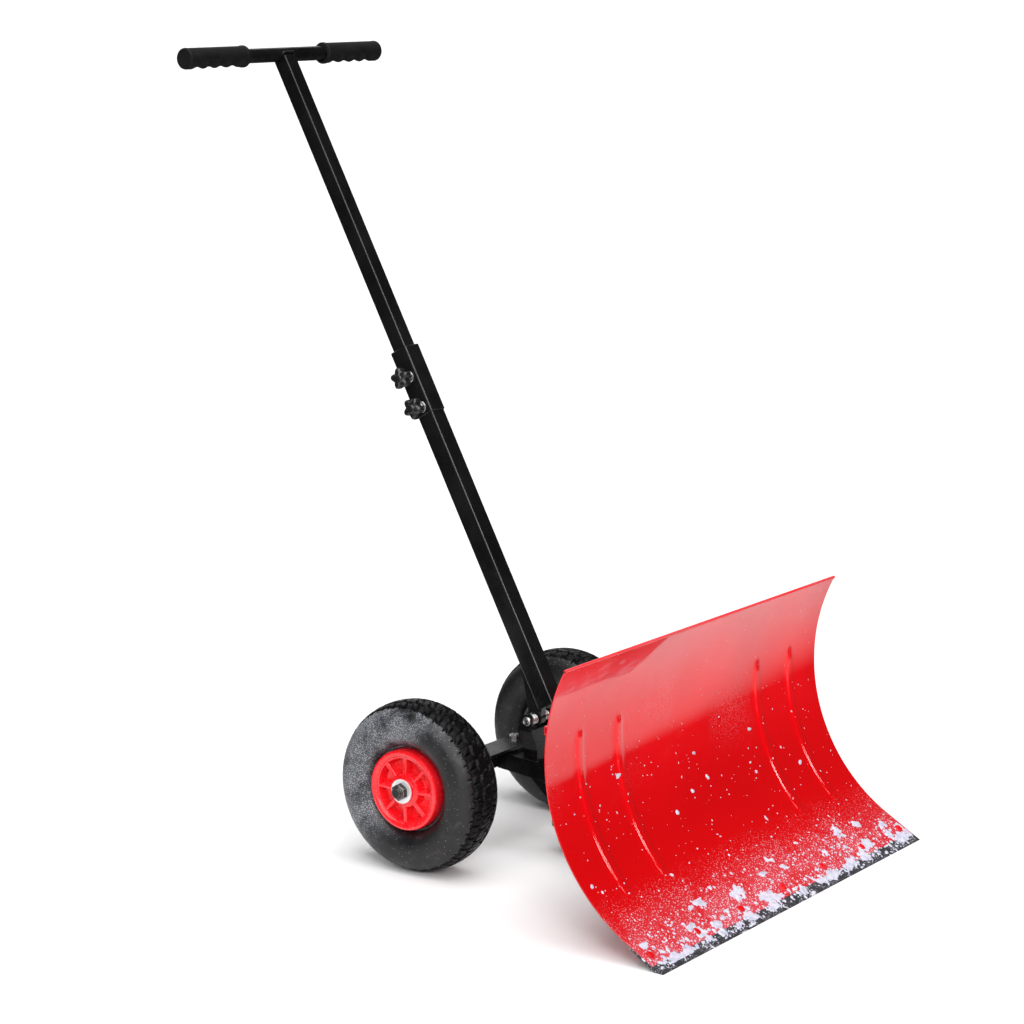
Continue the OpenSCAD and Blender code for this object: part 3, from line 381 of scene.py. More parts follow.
def snow():
    """Packed granular snow, slightly blue in its shade."""
    f = Finish("packed_snow")
    tone = f.mix(f.ramp(f.noise(120.0, 5.0, 0.6), 0.35, 0.7), rgb(0.66, 0.66, 0.76), rgb(0.44, 0.45, 0.58))
    f.set(Base_Color=tone, Subsurface_Weight=0.25, Subsurface_Scale=0.002, Roughness=0.55)
    relief = f.math("ADD", f.ramp(f.cells(700.0), 0.6, 0.1), f.noise(420.0, 4.0))
    f.set(Normal=f.bump(relief, 0.6, 0.0009))
    return f.material


FINISH = {
    "red_paint": red_paint(),
    "black_paint": black_paint(),
    "zinc": zinc(),
    "dark_steel": dark_steel(),
    "red_plastic": red_plastic(),
    "black_plastic": black_plastic(),
    "nylon": pale_nylon(),
    "liner_plastic": liner_plastic(),
    "tyre_rubber": tyre_rubber(),
    "grip_rubber": grip_rubber(),
    "scraper_rubber": scraper_rubber(),
}
BLADE_FINISH = blade_paint()
SNOW_FINISH = snow()
TREAD_FINISH = tread_rubber()

slot_of = {}
for name, node in frame["nodes"].items():
    slot_of[name] = node.data.materials[0].name.split(".")[0]
    node.data.materials[0] = FINISH[slot_of[name]]
frame["nodes"]["axle_washers"].data.materials[0] = washer_plate()
# Painted shade: a copy of the black powder coat with less sheen, for the chassis and blade carrier parts, which
# sit in shade.
SHADED_BLACK = black_paint("black_powder_coat_painted_shade", 0.16)
for body in ("chassis", "blade"):
    for name in frame["record"]["behaviour"]["bodies"][body]:
        if slot_of[name] == "black_paint":
            frame["nodes"][name].data.materials[0] = SHADED_BLACK


# ---------------------------------------------------------------- mesh tools


class Shape:
    """Vertices and faces gathered from several patches, each with a material number."""

    def __init__(self):
        self.points = []
        self.faces = []
        self.marks = []

    def add(self, points, faces, mark=0):
        start = len(self.points)
        self.points += [tuple(p) for p in points]
        self.faces += [tuple(start + i for i in f) for f in faces]
        self.marks += [mark] * len(faces)

    def grid(self, rows, mark=0, wrap_rows=False, wrap_columns=False):
        """rows is an (n, m, 3) array of points; neighbours are joined by quads."""
        rows = np.asarray(rows, float)
        n, m = rows.shape[:2]
        faces = []
        for i in range(n if wrap_rows else n - 1):
            a, b = i * m, ((i + 1) % n) * m
            for j in range(m if wrap_columns else m - 1):
                k = (j + 1) % m
                faces.append((a + j, a + k, b + k, b + j))
        self.add(rows.reshape(-1, 3), faces, mark)

    def cap(self, ring, flip=False):
        order = range(len(ring))
        self.add(ring, [tuple(reversed(order)) if flip else tuple(order)])

    def build(self, name, materials, body, replaces=(), *, angle):
        """Makes one shown piece on a body; edges sharper than angle degrees stay sharp."""
        mesh = bpy.data.meshes.new(name)
        mesh.from_pydata(self.points, [], self.faces)
        for material in materials:
            mesh.materials.append(material)
        mesh.polygons.foreach_set("material_index", self.marks)
        piece = bpy.data.objects.new(name, mesh)
        bpy.context.scene.collection.objects.link(piece)
        tidy_mesh(mesh)
        mesh.shade_smooth()
        mesh.set_sharp_from_angle(angle=math.radians(angle))
        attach(piece, body)
        if replaces:
            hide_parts(*replaces)


def tidy_mesh(mesh):
    """Joins coincident points and turns every face outwards."""
    work = bmesh.new()
    work.from_mesh(mesh)
    bmesh.ops.remove_doubles(work, verts=work.verts, dist=1e-6)
    bmesh.ops.recalc_face_normals(work, faces=work.faces)
    work.to_mesh(mesh)
    work.free()


def smooth(value, low, high):
    """0 below low, 1 above high, and a smooth step between them; low may exceed high."""
    t = np.clip((np.asarray(value, float) - low) / (high - low), 0.0, 1.0)
    return t * t * (3 - 2 * t)


def lathe(shape, profile, centre, axis, steps, mark=0, closed=False):
    """Turns (along, radius) points, in mm, about an axis through centre."""
    axis = Vector(axis).normalized()
    side = axis.orthogonal().normalized()
    other = axis.cross(side)
    rows = []
    for i in range(steps):
        angle = 2 * math.pi * i / steps
        out = side * math.cos(angle) + other * math.sin(angle)
        rows.append([centre + axis * (a * MM) + out * (r * MM) for a, r in profile])
    shape.grid(rows, mark, wrap_rows=True, wrap_columns=closed)


def tube_along(shape, points, radii, steps, closed=False):
    """A round tube along a list of points with a radius at each, its ends closed unless it is a ring."""
    points = [Vector(p) for p in points]
    n = len(points)
    rings = []
    normal = None
    for i, p in enumerate(points):
        before = points[(i - 1) % n] if closed or i else p
        after = points[(i + 1) % n] if closed or i < n - 1 else p
        along = (after - before).normalized()
        if normal is None:
            normal = along.orthogonal().normalized()
        normal = (normal - along * normal.dot(along)).normalized()
        across = along.cross(normal)
        rings.append([p + (normal * math.cos(t) + across * math.sin(t)) * radii[i]
                      for t in (2 * math.pi * k / steps for k in range(steps))])
    shape.grid(rings, wrap_rows=closed, wrap_columns=True)
    if not closed:
        shape.cap(rings[0])
        shape.cap(rings[-1], flip=True)


WELD_RIPPLE = 1.6 * MM


def weld_bead(shape, points, radius, closed=False):
    """A weld bead: a tube along the seam with the ripples of a weld."""
    path = []
    count = len(points)
    for i in range(count if closed else count - 1):
        a, b = Vector(points[i]), Vector(points[(i + 1) % count])
        parts = max(1, int((b - a).length / (WELD_RIPPLE / 3)))
        path += [a.lerp(b, k / parts) for k in range(parts)]
    if not closed:
        path.append(Vector(points[-1]))
    radii = []
    travelled = 0.0
    for i, p in enumerate(path):
        travelled += (p - path[i - 1]).length if i else 0.0
        ripple = abs(math.sin(math.pi * travelled / WELD_RIPPLE))
        radii.append(radius * (0.82 + 0.22 * ripple + 0.08 * noise.noise(p * 300)))
    tube_along(shape, path, radii, 8, closed)


def rounded_square(side, corner):
    """Points of a square with rounded corners, in mm, about its middle."""
    steps = 5
    half = side / 2 - corner
    ring = []
    for k, (sx, sy) in enumerate(((1, 1), (-1, 1), (-1, -1), (1, -1))):
        for i in range(steps + 1):
            t = math.radians(90 * (k + i / steps))
            ring.append((sx * half + corner * math.cos(t), sy * half + corner * math.sin(t)))
    return ring


# ---------------------------------------------------------------- blade

BLADE_RADIUS = 263.6
FOOT_ANGLE = math.radians(29.5)
FOOT_LENGTH = 64.0
TOP_TURN = math.radians(89.0)
SHEET = 2.0
HEM_RADIUS = 2.3
SCRAPER_SHOWS = 18.0
BLADE_LENGTH = FOOT_LENGTH + BLADE_RADIUS * TOP_TURN
tip_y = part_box("scraper_edge")[0].y / MM
blade_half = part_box("blade_shell")[1].x / MM
RIBS = (-281.0, -186.0, 186.0, 281.0)
RIB_LOW, RIB_HIGH = 116.0, 366.0
RIB_REACH = 7.5
RIB_HEIGHT = 3.0


def blade_point(x, s, lift=0.0):
    """A point of the blade's face in mm: x across, s up along the sheet, lift off its front."""
    if s < FOOT_LENGTH:
        y = tip_y + s * math.cos(FOOT_ANGLE)
        z = s * math.sin(FOOT_ANGLE)
        ny, nz = -math.sin(FOOT_ANGLE), math.cos(FOOT_ANGLE)
    else:
        turn = FOOT_ANGLE + (s - FOOT_LENGTH) / BLADE_RADIUS
        foot_y = tip_y + FOOT_LENGTH * math.cos(FOOT_ANGLE)
        foot_z = FOOT_LENGTH * math.sin(FOOT_ANGLE)
        y = foot_y + BLADE_RADIUS * (math.sin(turn) - math.sin(FOOT_ANGLE))
        z = foot_z + BLADE_RADIUS * (math.cos(FOOT_ANGLE) - math.cos(turn))
        ny, nz = -math.sin(turn), math.cos(turn)
    return (x * MM, (y + ny * lift) * MM, (z + nz * lift) * MM)


def rib_lift(x, s):
    """Height of the pressed ribs: a soft ridge that tapers out at both ends."""
    height = 0.0
    for centre in RIBS:
        off = abs(x - centre) / RIB_REACH
        if off < 1.0:
            ends = float(smooth(s, RIB_LOW - 6, RIB_LOW + 46) * smooth(s, RIB_HIGH + 5, RIB_HIGH - 12))
            height = max(height, RIB_HEIGHT * float(smooth(off, 1.0, 0.55)) * ends)
    return height


def panel_wave(x, s):
    """The slight unevenness of a pressed sheet."""
    broad = noise.noise(Vector((x / 150, s / 110, 3.0)))
    fine = noise.noise(Vector((x / 45, s / 40, 9.0)))
    return 0.35 * broad + 0.10 * fine


def spread(low, high, step, ribs=()):
    """Numbers from low to high, closer together around each rib."""
    values = set(np.linspace(low, high, int(round((high - low) / step)) + 1).round(3))
    for centre in ribs:
        values |= set(np.arange(centre - RIB_REACH, centre + RIB_REACH + 0.01, RIB_REACH / 10).round(3))
    return sorted(v for v in values if low <= v <= high)


def build_blade():
    """The curved sheet with its ribs, and the rolled hem along its top."""
    shape = Shape()
    xs = spread(-blade_half, blade_half, 12, RIBS)
    ups = spread(SCRAPER_SHOWS, BLADE_LENGTH, 5)
    front, back = [], []
    for s in ups:
        front.append([blade_point(x, s, rib_lift(x, s) + panel_wave(x, s)) for x in xs])
        back.append([blade_point(x, s, rib_lift(x, s) + panel_wave(x, s) - SHEET) for x in xs])
    front, back = np.array(front), np.array(back)
    shape.grid(front)
    shape.grid(back)
    for edge_front, edge_back in ((front[0], back[0]), (front[-1], back[-1]),
                                  (front[:, 0], back[:, 0]), (front[:, -1], back[:, -1])):
        shape.grid([edge_front, edge_back])
    hem = [blade_point(x, BLADE_LENGTH, -SHEET / 2) for x in np.linspace(-blade_half, blade_half, 40)]
    tube_along(shape, hem, [HEM_RADIUS * MM] * len(hem), 16)
    shape.build("blade_panel", [BLADE_FINISH], "blade", ["blade_shell"], angle=50)


def build_snow():
    """Flakes and clumps of snow stuck to the blade, thickest along its foot."""
    rng = random.Random(11)
    shape = Shape()

    def clump(x, s, size, thick, lobes):
        ring = []
        turn = rng.random() * math.tau
        long = rng.uniform(1.0, 1.9)
        for k in range(lobes):
            t = math.tau * k / lobes
            r = size * rng.uniform(0.55, 1.15)
            u, v = r * long * math.cos(t), r * math.sin(t)
            ring.append((u * math.cos(turn) - v * math.sin(turn),
                         u * math.sin(turn) + v * math.cos(turn)))
        base, mid = [], []
        for u, v in ring:
            if abs(x + u) > blade_half or s + v < 0.5:
                return
            ground = rib_lift(x + u, s + v)
            base.append(blade_point(x + u, s + v, ground - 0.15))
            ground = rib_lift(x + u * 0.7, s + v * 0.7)
            mid.append(blade_point(x + u * 0.72, s + v * 0.72, ground + thick * rng.uniform(0.75, 1.1)))
        top = blade_point(x, s, rib_lift(x, s) + thick * rng.uniform(1.0, 1.35))
        n = len(base)
        faces = [(i, (i + 1) % n, n + (i + 1) % n, n + i) for i in range(n)]
        faces += [(n + i, n + (i + 1) % n, 2 * n) for i in range(n)]
        faces += [tuple(reversed(range(n)))]
        shape.add(base + mid + [top], faces)

    for _ in range(14):
        x, s = rng.uniform(-340, 340), rng.uniform(120, 300)
        clump(x, s, rng.uniform(1.6, 3.8), rng.uniform(0.8, 1.8), 9)
    for _ in range(130):
        clump(rng.uniform(-350, 350), rng.uniform(60, 330), rng.uniform(0.6, 1.4), rng.uniform(0.4, 0.8), 6)
    for _ in range(520):
        s = SCRAPER_SHOWS + abs(rng.gauss(0, 40))
        clump(rng.uniform(-355, 355), s, rng.uniform(0.6, 2.0), rng.uniform(0.4, 1.0), 8)
    for _ in range(70):
        s = SCRAPER_SHOWS + abs(rng.gauss(0, 14)) - 5
        clump(rng.uniform(-352, 352), s, rng.uniform(1.8, 4.5), rng.uniform(0.6, 1.4), 11)
    for _ in range(200):
        clump(rng.uniform(-357, 357), rng.uniform(3.5, 17), rng.uniform(0.6, 2.2), rng.uniform(0.4, 1.0), 8)
    crust(shape)
    shape.build("blade_snow", [SNOW_FINISH], "blade", angle=70)


def crust(shape):
    """Thin patches of crusted snow along the foot, where a noise field is high."""
    step = 2.0
    xs = np.arange(-356, 356.1, step)
    ups = np.arange(8, 92, step)
    height = np.zeros((len(ups), len(xs)))
    for i, s in enumerate(ups):
        keep = max(0.05 - 0.0058 * abs(s - 17), 0.24 - 0.035 * abs(s - 15))
        for j, x in enumerate(xs):
            field = noise.fractal(Vector((x / 26, s / 17, 1.5)), 1.0, 2.2, 5)
            height[i, j] = field + keep - 0.30
    shown = height > 0
    shown[0] = shown[-1] = False
    shown[:, 0] = shown[:, -1] = False
    used, points, faces = {}, [], []

    def corner(i, j):
        if (i, j) not in used:
            used[i, j] = len(points)
            lift = -0.15 if height[i, j] <= 0 else min(1.2, 0.3 + 4.0 * height[i, j])
            wobble = 0.5 * step * noise.noise(Vector((xs[j], ups[i], 7.0)) * 0.37)
            points.append(blade_point(xs[j] + wobble, ups[i] + wobble, rib_lift(xs[j], ups[i]) + lift))
        return used[i, j]

    for i in range(len(ups) - 1):
        for j in range(len(xs) - 1):
            cell = (shown[i, j], shown[i + 1, j], shown[i, j + 1], shown[i + 1, j + 1])
            if any(cell):
                faces.append((corner(i, j), corner(i, j + 1), corner(i + 1, j + 1), corner(i + 1, j)))
    shape.add(points, faces)


build_blade()
build_snow()


# ---------------------------------------------------------------- wheels

TREAD_BLOCKS = 36
TREAD_DEPTH = 3.6
TREAD_RADIUS = 125.0
TYRE_STEPS = 680
HUB_RIBS = 8


def tread_depth(turn, across):
    """Share of the tread's depth that is cut away at an angle round the tyre, across mm off its middle."""
    pitch = math.tau / TREAD_BLOCKS
    phase = turn / pitch
    mm = pitch * TREAD_RADIUS
    deep = np.zeros_like(turn)
    sway = 1.8 * np.sin(math.tau * phase)
    for centre, wide in ((-12.0, 2.0), (12.0, 2.0), (-26.0, 1.3), (26.0, 1.3)):
        gap = np.abs(across - centre - sway * np.sign(centre))
        deep = np.maximum(deep, smooth(gap, wide + 0.7, wide - 0.7))
    bands = ((0.0, 10.5, 0.0, 0.30, 1.2), (19.0, 6.5, 0.5, 0.22, 1.4), (38.0, 12.5, 0.18, 0.14, 1.1))
    for centre, half, offset, slant, wide in bands:
        inside = smooth(np.abs(np.abs(across) - centre), half + 1.0, half - 1.0)
        lean = phase + offset + slant * np.abs(across) / 20.0 * np.where(across > 0, 1, -1)
        lean = np.where(across > 0, lean, lean + 0.37)
        near = np.abs(lean - np.round(lean)) * mm
        deep = np.maximum(deep, inside * smooth(near, wide + 0.8, wide - 0.8))
        sipe = np.abs(lean + 0.5 - np.round(lean + 0.5)) * mm
        deep = np.maximum(deep, 0.3 * inside * smooth(sipe, 0.9, 0.35))
    return deep


def tyre_profile():
    """(radius, across, share of tread) round the tyre's section, in mm, from bead to bead."""
    half = [(60.2, 20.0, 0.0), (61.4, 22.4, 0.0)]
    for angle in np.radians(np.linspace(-62, 90, 56)):
        radius = 93.6 + 33.4 * math.copysign(abs(math.sin(angle)) ** 0.85, angle)
        across = 42.0 * math.cos(angle) ** 0.85
        half.append((radius, across, float(smooth(radius, 117.0, 121.0))))
    other = [(r, -a, k) for r, a, k in reversed(half[:-1])]
    return half + other


def build_tyre(name, joint, body, mirror, bulge_phase):
    """Tyre casing with block tread; the tread and the sides have their own rubber."""
    centre = Vector(joints[joint]["pos_m"])
    profile = np.array(tyre_profile())
    turns = np.linspace(0, math.tau, TYRE_STEPS, endpoint=False)
    radius, across, share = profile.T
    turn_grid, across_grid = np.meshgrid(turns, across, indexing="ij")
    depth = tread_depth(turn_grid, across_grid) * share[None, :] * TREAD_DEPTH
    bulge = 0.5 * np.sin(turn_grid * 3 + bulge_phase) * (1 - share[None, :])
    r = (radius[None, :] - depth) * MM
    points = np.empty(turn_grid.shape + (3,))
    points[..., 0] = centre.x + mirror * (across_grid + bulge * 0.3 * np.sign(across_grid)) * MM
    points[..., 1] = centre.y + r * np.sin(turn_grid)
    points[..., 2] = centre.z + r * np.cos(turn_grid)
    shape = Shape()
    shape.grid(points, wrap_rows=True, wrap_columns=True)
    faces_across = len(profile)
    treaded = (share + np.roll(share, -1)) / 2 > 0.97
    shape.marks = [int(treaded[k % faces_across]) for k in range(len(shape.faces))]
    shape.build(name + "_casing", [FINISH["tyre_rubber"], TREAD_FINISH], body,
                [name], angle=38)


def build_hub(name, joint, body, mirror):
    """Outer hub half: rounded rim, recessed web, tapered ribs and a flanged boss."""
    centre = Vector(joints[joint]["pos_m"])
    axis = (mirror, 0, 0)
    shape = Shape()
    rim = [(0.0, 59.9), (33.0, 59.9), (36.4, 59.6), (38.2, 58.7), (39.0, 57.0), (38.9, 55.0), (38.2, 52.8),
           (37.2, 50.8), (36.3, 49.9), (35.6, 49.6), (35.2, 48.8), (34.9, 47.6), (33.6, 46.9), (28.0, 46.0),
           (23.0, 45.0), (20.8, 43.6), (20.0, 41.5), (20.0, 29.0), (20.9, 27.0), (24.0, 26.1), (34.0, 25.4),
           (35.9, 24.8), (36.5, 23.6), (36.7, 18.6), (37.2, 17.6), (38.6, 16.9), (38.9, 15.8), (38.9, 11.4),
           (0.0, 11.4)]
    lathe(shape, rim, centre, axis, steps=144, closed=True)
    along = Vector(axis)
    for i in range(HUB_RIBS):
        angle = math.tau * i / HUB_RIBS
        out = Vector((0, math.sin(angle), math.cos(angle)))
        side = along.cross(out)
        rows = []
        for r, top in ((23.0, 36.4), (27.0, 36.0), (33.0, 35.2), (40.0, 34.7), (46.0, 34.7), (49.0, 35.0)):
            section = []
            flank = ((4.0, 19.0), (3.6, 22.0), (3.0, top - 1.2), (2.3, top - 0.3), (1.2, top))
            for u, h in flank + tuple((-u, h) for u, h in reversed(flank)):
                section.append(centre + along * (h * MM) + out * (r * MM) + side * (u * MM))
            rows.append(section)
        shape.grid(rows, wrap_columns=True)
        shape.cap(rows[0])
        shape.cap(rows[-1], flip=True)
    shape.build(name + "_moulding", [FINISH["red_plastic"]], body, [name], angle=34)


build_tyre("left_tyre", "left_wheel_spin", "left_wheel", -1, 0.4)
build_tyre("right_tyre", "right_wheel_spin", "right_wheel", 1, 2.0)
build_hub("left_outer_hub", "left_wheel_spin", "left_wheel", -1)
build_hub("right_outer_hub", "right_wheel_spin", "right_wheel", 1)


def threaded(shape, start, axis, length, radius, pitch, mark=0):
    """A threaded rod from start along axis; all sizes in mm."""
    profile = [(0.0, 0.0), (0.0, radius - 0.9), (0.6, radius - 0.3)]
    along = 1.2
    while along < length - 1.4:
        profile += [(along, radius - 0.55), (along + pitch / 2, radius)]
        along += pitch
    profile += [(length - 0.7, radius - 0.4), (length, radius - 1.1), (length, 0.0)]
    lathe(shape, profile, start, axis, steps=28, mark=mark)


def hexagon(shape, start, axis, flats, height, turn, hole):
    """A hexagon nut with chamfered corners and a hole of that radius; all sizes in mm."""
    axis = Vector(axis).normalized()
    side = axis.orthogonal().normalized()
    other = axis.cross(side)
    steps = 72
    corner = flats / math.sqrt(3)
    rows = []
    for i in range(steps):
        t = math.tau * i / steps + turn
        k = (t - turn) % (math.tau / 6) - math.tau / 12
        edge = flats / 2 / math.cos(k)
        chamfer = 0.55 * (edge - flats / 2) / (corner - flats / 2) + 0.05
        section = [(0.0, hole), (0.0, edge - 0.35 - chamfer), (0.2 + chamfer, edge),
                   (height - 0.2 - chamfer, edge), (height, edge - 0.35 - chamfer), (height, hole)]
        out = side * math.cos(t) + other * math.sin(t)
        rows.append([start + axis * (a * MM) + out * (r * MM) for a, r in section])
    shape.grid(rows, wrap_rows=True, wrap_columns=True)


def build_axle_ends():
    """Axle with threaded ends, and the lock nuts on them."""
    low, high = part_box("axle_shaft")
    y, z = (low.y + high.y) / 2, (low.z + high.z) / 2
    shape = Shape()
    thread = 24
    plain = high.x / MM - thread
    bar = [(-plain, 0.0), (-plain, 7.9), (plain, 7.9), (plain, 0.0)]
    lathe(shape, bar, Vector((0, y, z)), (1, 0, 0), 40)
    for side in (-1, 1):
        threaded(shape, Vector((side * plain * MM, y, z)), (side, 0, 0), thread, 7.95, 2.0, mark=1)
    shape.build("axle_with_threads", [FINISH["zinc"], FINISH["dark_steel"]], "chassis",
                ["axle_shaft"], angle=25)
    shape = Shape()
    nut_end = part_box("axle_nuts")[1].x
    for side in (-1, 1):
        start = Vector((side * (nut_end - 11 * MM), y, z))
        hexagon(shape, start, (side, 0, 0), 22, 8.0, turn=0.3, hole=8.05)
        insert = [(7.5, 8.1), (7.5, 10.2), (9.6, 10.0), (10.9, 9.0), (10.9, 8.1)]
        lathe(shape, insert, start, (side, 0, 0), 48, closed=True)
    shape.build("axle_lock_nuts", [FINISH["dark_steel"]], "chassis", ["axle_nuts"], angle=25)


build_axle_ends()


# ---------------------------------------------------------------- handle

handle_axis = Vector(joints["handle_telescope"]["axis"]).normalized()
ACROSS = Vector((1, 0, 0))
under = ACROSS.cross(handle_axis).normalized()
if under.z > 0:
    under = -under
bar_low, bar_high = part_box("t_bar")
bar = (bar_low + bar_high) / 2
HANDLE_LENGTH = 1070.0
LOWER_SIDE, LOWER_TOP = 30.0, 567.0
UPPER_SIDE, UPPER_START = 25.0, 350.0
SLEEVE_SIDE, SLEEVE_START, SLEEVE_END = 33.0, 474.0, 580.0
BAR_RADIUS = 11.2
handle_foot = bar - handle_axis * (HANDLE_LENGTH * MM)


def handle_point(x, v, s):
    """A point in the handle's frame in mm: x across, v towards the underside, s along it."""
    return handle_foot + ACROSS * (x * MM) + under * (v * MM) + handle_axis * (s * MM)


def square_tube(shape, side, corner, start, end):
    """A tube of rounded square section along the handle, in mm, its ends eased."""
    ease = 0.7
    stations = ((start, side - 2 * ease), (start + ease, side), (end - ease, side), (end, side - 2 * ease))
    rows = []
    for along, width in stations:
        rows.append([handle_point(u, v, along) for u, v in rounded_square(width, corner)])
    shape.grid(rows, wrap_columns=True)
    shape.cap(rows[0])
    shape.cap(rows[-1], flip=True)


def build_handle_tubes():
    """Lower tube, upper tube with its weld to the T-bar, and the sleeve welded round the joint."""
    shape = Shape()
    square_tube(shape, LOWER_SIDE, 2.6, 0, LOWER_TOP)
    shape.build("lower_handle_tube", [FINISH["black_paint"]], "lower_handle",
                ["lower_tube_section"], angle=32)
    shape = Shape()
    square_tube(shape, UPPER_SIDE, 2.3, UPPER_START, HANDLE_LENGTH - 6)
    seam = []
    for u, v in rounded_square(UPPER_SIDE + 0.6, 2.3):
        drop = math.sqrt(BAR_RADIUS ** 2 - min(abs(v), BAR_RADIUS - 0.1) ** 2)
        seam.append(handle_point(u, v, HANDLE_LENGTH - max(drop, 1.5)))
    weld_bead(shape, seam, 1.5 * MM, closed=True)
    shape.build("upper_handle_tube", [FINISH["black_paint"]], "upper_handle",
                ["upper_tube_section"], angle=32)
    shape = Shape()
    square_tube(shape, SLEEVE_SIDE, 3.0, SLEEVE_START, SLEEVE_END - 0.5)
    rings = []
    for drop, side in ((1.2, 32.0), (0.4, 31.0), (0.0, 29.5), (0.0, 25.6)):
        rings.append([handle_point(u, v, SLEEVE_END - drop) for u, v in rounded_square(side, 2.4)])
    shape.grid(rings, wrap_columns=True)
    seam = [handle_point(u, v, SLEEVE_START - 0.2) for u, v in rounded_square(31.5, 2.6)]
    weld_bead(shape, seam, 1.1 * MM, closed=True)
    shape.build("handle_sleeve", [FINISH["black_paint"]], "lower_handle",
                ["handle_collar"], angle=32)


KNOB_FACE = -27.5


def star_knob(name, node, body, joint, turn):
    """Five-lobed clamp knob with a raised boss on its stud."""
    centre = Vector(joints[joint]["pos_m"])
    centre.x = 0.0
    shape = Shape()
    steps = 120
    boss = ((-17.0, 0.0), (-17.0, 5.2), (-16.4, 6.2), (-15.4, 6.8))
    lobed = ((-14.6, -4.6), (-13.7, -2.0), (-12.2, -0.6), (-9.5, 0.0),
             (-4.5, 0.0), (-2.2, -0.6), (-0.8, -2.0), (0.0, -4.6))
    rows = []
    for i in range(steps):
        t = math.tau * i / steps
        lobe = 0.5 + 0.5 * math.cos(5 * (t - turn))
        radius = 11.6 + 5.4 * lobe ** 0.75
        out = Vector((0, math.sin(t), math.cos(t)))
        section = list(boss) + [(along, radius + change) for along, change in lobed]
        section += [(0.0, 5.0), (0.0, 0.0)]
        rows.append([centre + ACROSS * ((KNOB_FACE + along) * MM) + out * (r * MM)
                     for along, r in section])
    shape.grid(rows, wrap_rows=True)
    collar = [(0.0, 0.0), (0.0, 7.4), (2.4, 7.4), (3.0, 6.8), (3.0, 0.0)]
    lathe(shape, collar, centre + ACROSS * ((KNOB_FACE - 0.4) * MM), (1, 0, 0), 40, mark=1)
    threaded(shape, centre + ACROSS * ((KNOB_FACE + 1) * MM), (1, 0, 0), 13.6, 3.95, 1.25, mark=1)
    shape.build(name, [FINISH["black_plastic"], FINISH["zinc"]], body, [node], angle=32)


def build_collar_nuts():
    """The two nuts welded to the sleeve's side for the knobs' studs."""
    shape = Shape()
    for joint in ("upper_knob_turn", "lower_knob_turn"):
        start = Vector(joints[joint]["pos_m"])
        start.x = -16.4 * MM
        hexagon(shape, start, (-1, 0, 0), 14, 7.0, turn=0.25, hole=4.1)
        ring = [start + Vector((0, 8.0 * MM * math.sin(t), 8.0 * MM * math.cos(t)))
                for t in np.linspace(0, math.tau, 24, endpoint=False)]
        weld_bead(shape, ring, 0.9 * MM, closed=True)
    shape.build("welded_collar_nuts", [FINISH["zinc"]], "lower_handle", ["collar_nuts"], angle=28)


def build_grip(name, node, side):
    """Closed-end foam grip with finger hollows underneath."""
    low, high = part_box(node)
    centre = Vector((0, bar.y, bar.z))
    outer = (high.x if side > 0 else -low.x) / MM
    inner = outer - 132
    shape = Shape()
    xs = [inner, inner + 0.5, inner + 1.6, inner + 4.2, inner + 5.2, inner + 6.4]
    xs += list(np.linspace(inner + 8, outer - 6, 84))
    xs += [outer - 4, outer - 2.6, outer - 1.4, outer - 0.5, outer, outer, outer, outer - 0.6]
    rows = []
    steps = 72
    for k in range(steps):
        t = math.tau * k / steps
        down = Vector((0, math.sin(t), -math.cos(t)))
        facing = max(0.0, math.cos(t))
        section = []
        for i, x in enumerate(xs):
            r = 15.5
            if i == 0:
                r = 11.2
            elif x < inner + 5.5:
                r = 16.4 - (0.9 if i == 1 else 0.0)
            elif x < inner + 7:
                r = 15.7
            phase = (outer - 14 - x) / 26.0
            if 0 < phase < 4:
                r -= 2.9 * facing ** 0.7 * math.sin(math.pi * (phase % 1.0)) ** 0.75
            if 0 <= phase + 0.5 <= 5:
                r += 0.35 * facing
            last = len(xs) - 1 - i
            if last <= 7:
                r = (3.0, 9.6, 14.2, 14.3, 14.8, 15.5, 15.8, 15.9)[last]
            section.append(centre + Vector((side * x * MM, 0, 0)) + down * (r * MM))
        rows.append(section)
    shape.grid(rows, wrap_rows=True)
    shape.cap([row[-1] for row in rows], flip=side > 0)
    shape.build(name, [FINISH["grip_rubber"]], "upper_handle", [node], angle=36)


build_handle_tubes()
star_knob("upper_star_knob", "upper_clamp_knob", "upper_knob", "upper_knob_turn", 0.3)
star_knob("lower_star_knob", "lower_clamp_knob", "lower_knob", "lower_knob_turn", 0.9)
build_collar_nuts()
build_grip("left_foam_grip", "left_grip", -1)
build_grip("right_foam_grip", "right_grip", 1)


# ---------------------------------------------------------------- chassis details


def coil(shape, start, axis, radius, length, turns, wire):
    """A helical spring with closed end turns; sizes in mm."""
    axis = Vector(axis).normalized()
    side = Vector((0, 0, 1))
    other = axis.cross(side)
    points = []
    count = int(turns * 40)
    for i in range(count + 1):
        share = i / count
        t = math.tau * turns * share
        along = wire + (length - 2 * wire) * (share + 0.02 * math.sin(math.tau * share))
        out = side * math.cos(t) + other * math.sin(t)
        points.append(start + axis * (along * MM) + out * (radius * MM))
    tube_along(shape, points, [wire * MM] * len(points), 10)


def build_springs():
    """The two coil springs on the tilt pin, each with a bent leg near its inner end."""
    inner = 6.5
    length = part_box("tilt_springs")[1].x / MM - inner
    y, z = joints["handle_tilt"]["pos_m"][1:]
    shape = Shape()
    for side in (-1, 1):
        start = Vector((side * inner * MM, y, z))
        coil(shape, start, (side, 0, 0), 7.0, length, 6, 1.1)
        leg = [start + Vector((side * 1.2, back, up)) * MM for back, up in ((0, 7.0), (6, 7.4), (9, 5))]
        tube_along(shape, leg, [1.0 * MM] * len(leg), 8)
    shape.build("tilt_coil_springs", [FINISH["zinc"]], "chassis", ["tilt_springs"], angle=50)


